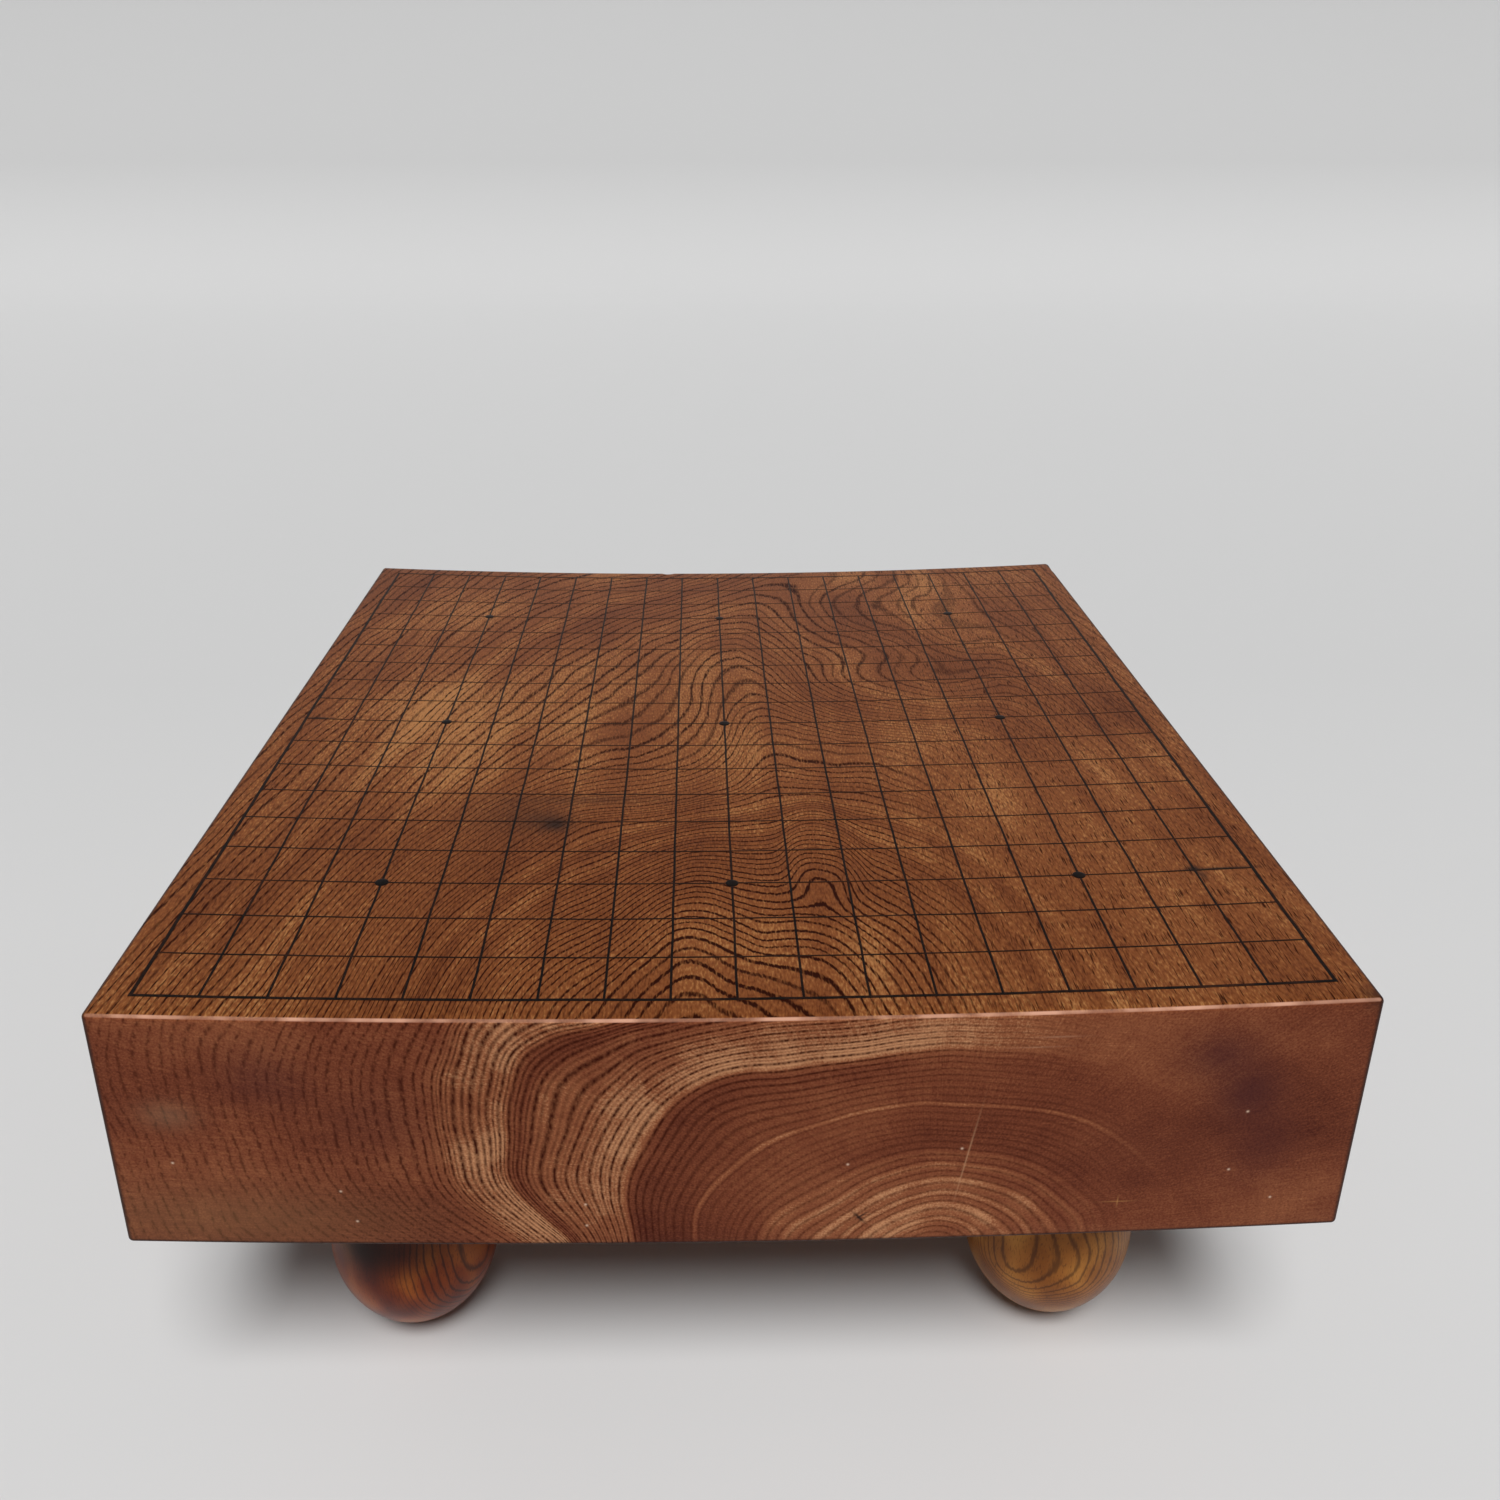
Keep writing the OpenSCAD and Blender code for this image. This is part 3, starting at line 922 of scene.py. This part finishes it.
# up to a distance of its own a foot is almost plain, and over this many millimetres the lines come in
PLAIN_LINES, PLAIN_FADE = 0.15, 14
FOOT_FLECKS = {1: 0.56, 2: 0.72, 3: 0.0, 4: 0.45}
# a dark stain at the top of the near left foot, deepened as painted shade under the block
FOOT_STAIN_AND_SHADE = "#1a0402"
FOOT_ROUGH, FOOT_SHINE = 0.30, 0.14
FOOT_BUMP, FOOT_PORE_DEPTH = 0.15, 0.1 * MM


def foot_wood(name, middle, heart, stretch, plain, line_share, tones, stains_and_shade):
    """Hardwood turned and waxed on the lathe: warm and glossy, with its rings as loops."""
    made = empty_material(name)
    tree = made.node_tree
    where = add(tree, "ShaderNodeTexCoord", out="Object")
    place = add(tree, VECTOR, {0: where, 1: middle}, operation="SUBTRACT")
    place = add(tree, VECTOR, {0: place, "Scale": 1 / MM}, operation="SCALE")
    noise = grain_noises(tree, place, FOOT_GRAIN)
    rings = foot_rings(tree, place, noise, heart, stretch)
    line = line_at(tree, rings, FOOT_LINE_FULL, FOOT_LINE_GONE, FOOT_RING, line_share)
    shown = add(tree, RANGE, {0: rings, 1: plain, 2: plain + PLAIN_FADE, 3: PLAIN_LINES, 4: 1.0})
    line = add(tree, MATH, {0: line, 1: shown}, operation="MULTIPLY")
    fleck = add(tree, RANGE, {0: noise["flecks"], **FOOT_FLECKS})
    pores = add(tree, MATH, {0: line, 1: fleck}, operation="MAXIMUM")
    paint = add(tree, RAMP, {0: noise["clouds"]}, stops=[(p, colour(c)) for p, c in tones])
    paint = add(tree, MIX, {0: pores, 6: paint, 7: colour(PORE_BROWN)}, out=2, data_type="RGBA")
    # dark stains with painted shade under the block, on the near left foot only
    for centre, reach, strength in stains_and_shade:
        paint = stained(tree, place, paint, centre, reach, strength, FOOT_STAIN_AND_SHADE)
    height = add(tree, MATH, {0: pores, 1: -1.0}, operation="MULTIPLY")
    bump = add(tree, "ShaderNodeBump", {
        "Height": height, "Strength": FOOT_BUMP, "Distance": FOOT_PORE_DEPTH,
    })
    shader = add(tree, "ShaderNodeBsdfPrincipled", {
        "Base Color": paint, "Roughness": FOOT_ROUGH, "IOR": WOOD_IOR,
        "Specular IOR Level": FOOT_SHINE, "Normal": bump,
    })
    add(tree, "ShaderNodeOutputMaterial", {"Surface": shader})
    return made


print("roughness: feet", FOOT_ROUGH, "and playing face", FACE_ROUGH)

# %% The four feet and their wood
RED_TONES = [(0.30, "#5a1b03"), (0.50, "#7e3508"), (0.72, "#a2581a")]
YELLOW_TONES = [(0.30, "#834a17"), (0.50, "#9d6024"), (0.72, "#bb7d36")]
FEET = {
    # side, end, heart from the belly in millimetres, stretch, distance with no lines, strength of lines,
    # tones, and stains with painted shade under the block, by their place, reach and strength
    "front_left": (-1, -1, (-45, 24, -8), (0.6, 0.6, 1.0), 118, 0.75, RED_TONES,
                   [((-13, -28, 18), (17, 16, 12), 0.92), ((2, -30, 19), (22, 14, 12), 0.60)]),
    "front_right": (1, -1, (3.0, 44.6, -8), (0.16, 0.24, 0.34), 0, 0.62, YELLOW_TONES, []),
    "back_left": (-1, 1, (30, -34, -10), (0.6, 0.8, 1.1), 0, 0.60, YELLOW_TONES, []),
    "back_right": (1, 1, (-38, -20, 12), (1.0, 1.0, 1.6), 0, 0.75, RED_TONES, []),
}
print(len(FEET), "feet, each with rings of its own")

# %% [markdown]
# ## The feet
# A turned foot is a profile spun about its axis. The profile is two arcs that meet at the belly, a flat
# shoulder and the tenon. It could be a screw modifier on a curve, but spinning it in code keeps every
# point on the arcs. The sole is cut level with the floor, because the feet lean a little with the cup
# of the block.

# %% The profile of a foot
FOOT_HEIGHT = 90 * MM
BELLY_HEIGHT = 41 * MM
BELLY_ROUND = 33.5 * MM
SHOULDER_ROUND = 20 * MM
SOLE_ROUND = 9 * MM
SEAT_GAP = 0.05 * MM
TENON_BEVEL = 2 * MM
SOLE_TRIM = 2 * MM
LOW_STOPS, HIGH_STOPS = 40, 30


def bulge(end_round, rise, heights):
    """Radii at some heights above the belly, on the arc that narrows to end_round at that rise."""
    inset = BELLY_ROUND - end_round
    arc = (inset ** 2 + rise ** 2) / (2 * inset)
    return BELLY_ROUND - arc + np.sqrt(arc ** 2 - heights ** 2)


def foot_profile():
    """Radius and height of the foot's outline, from sole to tenon, with the underside at zero."""
    upper = FOOT_HEIGHT - BELLY_HEIGHT
    low = np.linspace(-BELLY_HEIGHT - SOLE_TRIM, 0, LOW_STOPS)
    high = np.linspace(0, upper - SEAT_GAP, HIGH_STOPS)[1:]
    radii = np.concatenate((bulge(SOLE_ROUND, BELLY_HEIGHT, low), bulge(SHOULDER_ROUND, upper, high)))
    points = list(zip(radii, np.concatenate((low, high)) - upper))
    points.append((TENON_ROUND, -SEAT_GAP))
    points.append((TENON_ROUND, TENON_LENGTH - TENON_BEVEL))
    points.append((TENON_ROUND - TENON_BEVEL, TENON_LENGTH))
    return points


print(len(foot_profile()), "points from sole to tenon")

# %% Spin the feet
FOOT_TURNS = 96


def turned_foot(side, end):
    """One foot as a closed bmesh, in its place under the block."""
    mesh = bmesh.new()
    turn = [2 * math.pi * i / FOOT_TURNS for i in range(FOOT_TURNS)]
    rings = []
    for radius, height in foot_profile():
        rings.append([mesh.verts.new((radius * math.cos(a), radius * math.sin(a), height)) for a in turn])
    for low, high in zip(rings, rings[1:]):
        for i in range(FOOT_TURNS):
            mesh.faces.new((low[i - 1], low[i], high[i], high[i - 1]))
    mesh.faces.new(rings[0][::-1])
    mesh.faces.new(rings[-1])
    mesh.transform(under_foot(side, end))
    for vert in mesh.verts:
        vert.co.z = max(vert.co.z, 0.0)
    bmesh.ops.recalc_face_normals(mesh, faces=mesh.faces)
    return mesh


for foot, (side, end, *look) in FEET.items():
    middle = under_foot(side, end) @ Vector((0, 0, BELLY_HEIGHT - FOOT_HEIGHT))
    waxed = foot_wood("waxed_turned_wood_" + foot, middle, *look)
    piece = shown_object("turned_foot_" + foot, turned_foot(side, end), waxed)
    crease(piece)
    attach(piece, foot + "_foot")
    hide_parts("foot_" + foot)
    print(piece.name, "stands on", round(min(v.co.z for v in piece.data.vertices) / MM, 3), "mm")

# %% [markdown]
# ## Black lacquer
# The lines were drawn with thick black lacquer and have worn for years. The lacquer stays black in the
# long lines and goes thin and brown in places, most in the cross lines. Plain black would look printed,
# so two noises, one of patches and one of specks, say where the wood shows through.

# %% Worn black lacquer
LACQUER_BLACK, LACQUER_BROWN = "#070403", "#40200f"
WEAR_PATCH, WEAR_SPECK = 14 * MM, 1.2 * MM
PATCH_SHARE, SPECK_SHARE = 0.6, 0.4
WORN_FROM, WORN_TO = 0.45, 0.68
LACQUER_IOR, LACQUER_SHINE = 1.54, 0.06
THICK_ROUGH, THIN_ROUGH = 0.34, 0.55


def worn_lacquer(name, worn_share):
    """Black lacquer, rubbed thin: near black, with brown patches where the wood shows through."""
    made = empty_material(name)
    tree = made.node_tree
    where = add(tree, "ShaderNodeTexCoord", out="Object")
    patches = add(tree, NOISE, {"Vector": where, "Scale": 1 / WEAR_PATCH, "Detail": 3.0})
    specks = add(tree, NOISE, {"Vector": where, "Scale": 1 / WEAR_SPECK, "Detail": 1.0})
    thin = add(tree, MATH, {0: patches, 1: PATCH_SHARE}, operation="MULTIPLY")
    thin = add(tree, MATH, {0: specks, 1: SPECK_SHARE, 2: thin}, operation="MULTIPLY_ADD")
    thin = add(tree, RANGE, {0: thin, 1: WORN_FROM, 2: WORN_TO, 3: 0.0, 4: worn_share})
    tones = {6: colour(LACQUER_BLACK), 7: colour(LACQUER_BROWN)}
    paint = add(tree, MIX, {0: thin, **tones}, out=2, data_type="RGBA")
    rough = add(tree, RANGE, {0: thin, 3: THICK_ROUGH, 4: THIN_ROUGH})
    shader = add(tree, "ShaderNodeBsdfPrincipled", {
        "Base Color": paint, "Roughness": rough, "IOR": LACQUER_IOR, "Specular IOR Level": LACQUER_SHINE,
    })
    add(tree, "ShaderNodeOutputMaterial", {"Surface": shader})
    return made


line_lacquer = worn_lacquer("worn_black_lacquer", 0.30)
thin_lacquer = worn_lacquer("thin_brown_lacquer", 0.60)
star_lacquer = worn_lacquer("thick_black_lacquer", 0.10)
print("lacquers:", line_lacquer.name, thin_lacquer.name, star_lacquer.name)

# %% [markdown]
# ## Geometry Nodes for what repeats
# Nineteen lines each way and nine drops are work for Geometry Nodes. Each tree has named inputs for its
# sizes, and a modifier's inputs are set by the identifier of their socket, before the object is first
# evaluated. The lacquer is drawn flat and bent to the cup at the end, inside the tree.

# %% Helpers for Geometry Nodes
FLOAT, WHOLE, MATERIAL = "NodeSocketFloat", "NodeSocketInt", "NodeSocketMaterial"


def new_tree(name, sizes):
    """An empty Geometry Nodes tree with a named input for each size, and its identifiers."""
    tree = bpy.data.node_groups.new(name, "GeometryNodeTree")
    tree.interface.new_socket("Geometry", in_out="OUTPUT", socket_type="NodeSocketGeometry")
    ids = {}
    for size, kind in sizes.items():
        ids[size] = tree.interface.new_socket(size, in_out="INPUT", socket_type=kind).identifier
    return tree, ids, tree.nodes.new("NodeGroupInput").outputs


def bent(tree, geometry, radius, level):
    """Bends flat geometry to the cup, as on_cup does for points."""
    here = add(tree, "GeometryNodeInputPosition")
    part = add(tree, PARTS, {0: here}).node.outputs
    reach = add(tree, MATH, {0: radius, 1: part["Z"]}, operation="SUBTRACT")
    angle = add(tree, MATH, {0: part["X"], 1: radius}, operation="DIVIDE")
    sine = add(tree, MATH, {0: angle}, operation="SINE")
    cosine = add(tree, MATH, {0: angle}, operation="COSINE")
    x = add(tree, MATH, {0: reach, 1: sine}, operation="MULTIPLY")
    drop = add(tree, MATH, {0: reach, 1: cosine}, operation="MULTIPLY")
    z = add(tree, MATH, {0: level, 1: drop}, operation="SUBTRACT")
    place = add(tree, XYZ, {"X": x, "Y": part["Y"], "Z": z})
    return add(tree, "GeometryNodeSetPosition", {"Geometry": geometry, "Position": place})


def from_tree(name, tree, ids, values):
    """An object made by a Geometry Nodes tree with these values, as a plain mesh."""
    made = bpy.data.objects.new(name, bpy.data.meshes.new(name))
    bpy.context.scene.collection.objects.link(made)
    nodes = made.modifiers.new(name, "NODES")
    nodes.node_group = tree
    for size, value in values.items():
        nodes[ids[size]] = value
    plain_mesh(made)
    return made


print("kinds of input:", FLOAT, WHOLE, MATERIAL)

# %% [markdown]
# ## The line grid
# The lines of such a board are laid by hand in lacquer, so each stands up a little and is not quite
# straight. They could be an array of boxes, but those would all waver alike. One tree draws one thin
# strip, sets a copy at every line, makes the outer two wider, lets each strip waver, and bends the
# whole set to the cup of the face. The same tree is turned a quarter for the cross lines.

# %% Where the lines stand, how wide they are and how they waver
LINE_SIZES = {
    "Count": WHOLE, "Pitch": FLOAT, "Span": FLOAT, "Line width": FLOAT, "Border width": FLOAT,
    "Film": FLOAT, "Waver": FLOAT, "Turn": FLOAT, "Cup radius": FLOAT, "Bend level": FLOAT,
    "Seed": FLOAT, "Lacquer": MATERIAL,
}
WAVER_LENGTH = 30 * MM


def line_row(tree, size, middle):
    """Points at even steps along X, one for each line, with the middle line at zero."""
    start = add(tree, MATH, {0: middle, 1: size["Pitch"]}, operation="MULTIPLY")
    start = add(tree, MATH, {0: start, 1: -1.0}, operation="MULTIPLY")
    first = add(tree, XYZ, {"X": start})
    step = add(tree, XYZ, {"X": size["Pitch"]})
    return add(tree, "GeometryNodeMeshLine", {
        "Count": size["Count"], "Start Location": first, "Offset": step,
    })


def line_widths(tree, size, middle):
    """How much each line is widened: one, and more for the first and the last."""
    number = add(tree, "GeometryNodeInputIndex")
    out = add(tree, MATH, {0: number, 1: middle}, operation="SUBTRACT")
    out = add(tree, MATH, {0: out}, operation="ABSOLUTE")
    edge = add(tree, MATH, {0: middle, 1: 0.5}, operation="SUBTRACT")
    border = add(tree, MATH, {0: out, 1: edge}, operation="GREATER_THAN")
    wide = add(tree, MATH, {0: size["Border width"], 1: size["Line width"]}, operation="DIVIDE")
    wide = add(tree, MATH, {0: wide, 1: 1.0}, operation="SUBTRACT")
    wide = add(tree, MATH, {0: border, 1: wide, 2: 1.0}, operation="MULTIPLY_ADD")
    return add(tree, XYZ, {"X": wide, "Y": 1.0, "Z": 1.0})


def wavering(tree, size, lines):
    """Moves the points of the strips a little sideways, by a noise."""
    here = add(tree, "GeometryNodeInputPosition")
    wave = add(tree, NOISE, {"Vector": here, "W": size["Seed"], "Scale": 1 / WAVER_LENGTH, "Detail": 2.0},
               noise_dimensions="4D")
    wave = add(tree, MATH, {0: wave, 1: 0.5}, operation="SUBTRACT")
    wave = add(tree, MATH, {0: wave, 1: size["Waver"]}, operation="MULTIPLY")
    sway = add(tree, XYZ, {"X": wave})
    return add(tree, "GeometryNodeSetPosition", {"Geometry": lines, "Offset": sway})


print("line tree inputs:", ", ".join(LINE_SIZES))

# %% A tree that draws one set of lines
STRIP_ROWS = 113


def line_tree():
    """Strips of lacquer at even steps, wavering a little, bent to the cup."""
    tree, ids, size = new_tree("lacquer_lines", LINE_SIZES)
    strip_size = add(tree, XYZ, {"X": size["Line width"], "Y": size["Span"], "Z": size["Film"]})
    strip = add(tree, "GeometryNodeMeshCube", {
        "Size": strip_size, "Vertices X": 3, "Vertices Y": STRIP_ROWS, "Vertices Z": 2,
    })
    last = add(tree, MATH, {0: size["Count"], 1: 1.0}, operation="SUBTRACT")
    middle = add(tree, MATH, {0: last, 1: 0.5}, operation="MULTIPLY")
    row = line_row(tree, size, middle)
    widths = line_widths(tree, size, middle)
    lines = add(tree, "GeometryNodeInstanceOnPoints", {"Points": row, "Instance": strip, "Scale": widths})
    lines = add(tree, "GeometryNodeRealizeInstances", {"Geometry": lines})
    lines = wavering(tree, size, lines)
    turn = add(tree, XYZ, {"Z": size["Turn"]})
    lines = add(tree, "GeometryNodeTransform", {"Geometry": lines, "Rotation": turn})
    lines = bent(tree, lines, size["Cup radius"], size["Bend level"])
    lines = add(tree, "GeometryNodeSetMaterial", {"Geometry": lines, "Material": size["Lacquer"]})
    add(tree, "NodeGroupOutput", {"Geometry": lines})
    return tree, ids


lines_tree, line_ids = line_tree()
print(lines_tree.name, "has", len(lines_tree.nodes), "nodes")

# %% [markdown]
# ## Long lines and cross lines
# The squares of a go board are a little longer than wide, because players see it at a slant. The long
# lines have kept their black better than the cross lines, which are thinner and browner here.

# %% Draw the long and the cross lines
LINE_COUNT = 19
LAST_LINE = LINE_COUNT - 1
MARGIN_X = 12 * MM
MARGIN_Y = 10.7 * MM
LONG_PITCH = (FACE_WIDTH - 2 * MARGIN_X) / LAST_LINE
CROSS_PITCH = (BLOCK_LENGTH - 2 * MARGIN_Y) / LAST_LINE
FILM = 0.16 * MM
WAVER = 0.9 * MM
BORDER = 1.3 * MM
LONG_SPAN = CROSS_PITCH * LAST_LINE + BORDER
CROSS_SPAN = LONG_PITCH * LAST_LINE + BORDER
LINE_SETS = {
    # node: pitch, span, line width, turn, seed, lacquer
    "long_lines": (LONG_PITCH, LONG_SPAN, 0.88 * MM, 0.0, 3.0, line_lacquer),
    "cross_lines": (CROSS_PITCH, CROSS_SPAN, 0.75 * MM, math.pi / 2, 8.0, thin_lacquer),
}
for node, (pitch, span, width, turn, seed, lacquer) in LINE_SETS.items():
    piece = from_tree("lacquer_" + node, lines_tree, line_ids, {
        "Count": LINE_COUNT, "Pitch": pitch, "Span": span, "Line width": width, "Border width": BORDER,
        "Film": FILM, "Waver": WAVER, "Turn": turn, "Cup radius": CUP_RADIUS, "Bend level": BEND_Z,
        "Seed": seed, "Lacquer": lacquer,
    })
    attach(piece, "board")
    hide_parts(node)
    print(piece.name, "has", len(piece.data.polygons), "faces")

# %% [markdown]
# ## Star points
# The nine star points are drops of the same lacquer, put down with a round stick: low, round and
# slightly domed. A flattened ball at each of three by three places, a little uneven in size, gives that.

# %% Nine drops of lacquer
STAR_SIZES = {
    "Star pitch X": FLOAT, "Star pitch Y": FLOAT, "Diameter": FLOAT, "Rise": FLOAT,
    "Cup radius": FLOAT, "Bend level": FLOAT, "Seed": WHOLE, "Lacquer": MATERIAL,
}
STAR_EVERY = 6
STAR_ACROSS, STAR_RISE = 5.0 * MM, 0.5 * MM
SMALLEST_DROP, LARGEST_DROP = 0.98, 1.06
DROP_SEGMENTS, DROP_RINGS = 28, 12


def star_tree():
    """Three by three flattened drops, bent to the cup."""
    tree, ids, size = new_tree("star_points", STAR_SIZES)
    double_x = add(tree, MATH, {0: size["Star pitch X"], 1: 2.0}, operation="MULTIPLY")
    double_y = add(tree, MATH, {0: size["Star pitch Y"], 1: 2.0}, operation="MULTIPLY")
    places = add(tree, "GeometryNodeMeshGrid", {
        "Size X": double_x, "Size Y": double_y, "Vertices X": 3, "Vertices Y": 3,
    })
    ball = add(tree, "GeometryNodeMeshUVSphere", {
        "Segments": DROP_SEGMENTS, "Rings": DROP_RINGS, "Radius": 0.5,
    })
    uneven = add(tree, "FunctionNodeRandomValue", {
        2: SMALLEST_DROP, 3: LARGEST_DROP, "Seed": size["Seed"],
    }, out=1)
    across = add(tree, MATH, {0: size["Diameter"], 1: uneven}, operation="MULTIPLY")
    scale = add(tree, XYZ, {"X": across, "Y": across, "Z": size["Rise"]})
    drops = add(tree, "GeometryNodeInstanceOnPoints", {
        "Points": places, "Instance": ball, "Scale": scale,
    })
    drops = add(tree, "GeometryNodeRealizeInstances", {"Geometry": drops})
    drops = bent(tree, drops, size["Cup radius"], size["Bend level"])
    drops = add(tree, "GeometryNodeSetShadeSmooth", {"Geometry": drops})
    drops = add(tree, "GeometryNodeSetMaterial", {"Geometry": drops, "Material": size["Lacquer"]})
    add(tree, "NodeGroupOutput", {"Geometry": drops})
    return tree, ids


stars_tree, star_ids = star_tree()
stars = from_tree("lacquer_star_points", stars_tree, star_ids, {
    "Star pitch X": STAR_EVERY * LONG_PITCH, "Star pitch Y": STAR_EVERY * CROSS_PITCH,
    "Diameter": STAR_ACROSS, "Rise": STAR_RISE, "Cup radius": CUP_RADIUS, "Bend level": BEND_Z,
    "Seed": 4, "Lacquer": star_lacquer,
})
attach(stars, "board")
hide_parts("star_points")
print(stars.name, "has", len(stars.data.polygons), "faces")

# %% [markdown]
# ## The floor
# The board stands on a plain pale floor that sweeps up into a backdrop far behind it, as a studio's
# paper does, so the camera sees no hard horizon. It is a little greyer behind the board and greyer
# still up the backdrop.

# %% A plain pale floor
FLOOR_HALF = 14.0
SWEEP_START = 3.0
SWEEP_ROUND = 2.0
SWEEP_TURNS = range(0, 91, 6)
BACKDROP_TOP = 4.5
FLOOR_PALES = [(0.3, "#d8d8d8"), (0.7, "#dadada")]
FLOOR_BEHIND, BACKDROP_GREY = "#cbcbcb", "#b9b9b9"
BEHIND_FROM, BEHIND_TO = -0.5, 0.5
BACKDROP_FROM, BACKDROP_FULL = 0.0, 0.3
MOTTLE, FLOOR_ROUGH = 0.25, 0.7


def pale_floor():
    """Smooth pale plaster: almost one tone, faintly mottled, and greyer behind and up the backdrop."""
    made = empty_material("pale_plaster_floor")
    tree = made.node_tree
    where = add(tree, "ShaderNodeTexCoord", out="Object")
    mottle = add(tree, NOISE, {"Vector": where, "Scale": 1 / MOTTLE, "Detail": 4.0})
    paint = add(tree, RAMP, {0: mottle}, stops=[(p, colour(c)) for p, c in FLOOR_PALES])
    part = add(tree, PARTS, {0: where}).node.outputs
    behind = add(tree, RANGE, {0: part["Y"], 1: BEHIND_FROM, 2: BEHIND_TO})
    risen = add(tree, RANGE, {0: part["Z"], 1: BACKDROP_FROM, 2: BACKDROP_FULL})
    for share, grey in ((behind, FLOOR_BEHIND), (risen, BACKDROP_GREY)):
        paint = add(tree, MIX, {0: share, 6: paint, 7: colour(grey)}, out=2, data_type="RGBA")
    shader = add(tree, "ShaderNodeBsdfPrincipled", {"Base Color": paint, "Roughness": FLOOR_ROUGH})
    add(tree, "ShaderNodeOutputMaterial", {"Surface": shader})
    return made


def floor_sweep():
    """Floor, a wide bend and a backdrop as one sheet, facing up and forward."""
    bend = [math.radians(a) for a in SWEEP_TURNS]
    outline = [(-FLOOR_HALF, 0.0)]
    outline += [(SWEEP_START + SWEEP_ROUND * math.sin(a), SWEEP_ROUND * (1 - math.cos(a))) for a in bend]
    outline.append((SWEEP_START + SWEEP_ROUND, BACKDROP_TOP))
    mesh = bmesh.new()
    rows = [[mesh.verts.new((x, y, z)) for x in (-FLOOR_HALF, FLOOR_HALF)] for y, z in outline]
    for near, far in zip(rows, rows[1:]):
        mesh.faces.new((near[0], near[1], far[1], far[0])).smooth = True
    return mesh


floor = shown_object("pale_floor", floor_sweep(), pale_floor())
print("floor", 2 * FLOOR_HALF, "m wide, swept up", SWEEP_START, "m behind the board")

# %% [markdown]
# ## Light
# One broad, soft sun at a plain level lets the colours read as they are written, and a faint glow from
# all round keeps the shadows open. The room itself is pale only where the eye or a reflection sees it.
# Light Path tells those rays from the ones that light the board.

# %% Soft studio light
GLOW, GLOW_STRENGTH = "#ededed", 0.10
ROOM, ROOM_STRENGTH = "#d0d0d0", 1.0
DAYLIGHT_LEAN = 27
DAYLIGHT_SPREAD = 28
DAYLIGHT_STRENGTH = 3.05
world = bpy.data.worlds.new("soft_room")
world.use_nodes = True
sky = world.node_tree
sky.nodes.clear()
glow = add(sky, "ShaderNodeBackground", {"Color": colour(GLOW), "Strength": GLOW_STRENGTH})
pale_room = add(sky, "ShaderNodeBackground", {"Color": colour(ROOM), "Strength": ROOM_STRENGTH})
ray = add(sky, "ShaderNodeLightPath").node.outputs
looked = ray["Is Camera Ray"]
for kind in ("Is Glossy Ray", "Is Transmission Ray"):
    looked = add(sky, MATH, {0: looked, 1: ray[kind]}, operation="MAXIMUM")
room = add(sky, "ShaderNodeMixShader", {0: looked, 1: glow, 2: pale_room})
add(sky, "ShaderNodeOutputWorld", {"Surface": room})
bpy.context.scene.world = world
daylight = bpy.data.lights.new("soft_daylight", "SUN")
daylight.energy = DAYLIGHT_STRENGTH
daylight.angle = math.radians(DAYLIGHT_SPREAD)
held = bpy.data.objects.new("soft_daylight", daylight)
held.rotation_euler = (math.radians(DAYLIGHT_LEAN), 0, 0)
bpy.context.scene.collection.objects.link(held)
print("daylight leans", DAYLIGHT_LEAN, "degrees from the near side")

# %% [markdown]
# ## The camera
# The camera stands where a person kneeling at the near side would hold it: low, close, and looking
# down. Its place and lens were fitted to the crossings of the line grid as the photo shows them. The
# Standard view transform shows each colour as it was written.

# %% The camera
CAMERA_PLACE = (-0.01144, -0.55787, 0.45093)
CAMERA_PITCH = 63.60
CAMERA_YAW = -1.13
CAMERA_LENS = 30.97
CAMERA_SENSOR = 36
CAMERA_SHIFT = 0.0177
CAMERA_NEAREST = 0.01
eye = bpy.data.cameras.new("kneeling_view")
eye.lens = CAMERA_LENS
eye.sensor_width = CAMERA_SENSOR
eye.shift_x = CAMERA_SHIFT
eye.clip_start = CAMERA_NEAREST
camera = bpy.data.objects.new("kneeling_view", eye)
camera.location = CAMERA_PLACE
camera.rotation_euler = (math.radians(CAMERA_PITCH), 0, math.radians(CAMERA_YAW))
bpy.context.scene.collection.objects.link(camera)
bpy.context.scene.camera = camera
bpy.context.scene.view_settings.view_transform = "Standard"
print("camera", CAMERA_LENS, "mm, looking down", 90 - CAMERA_PITCH, "degrees")
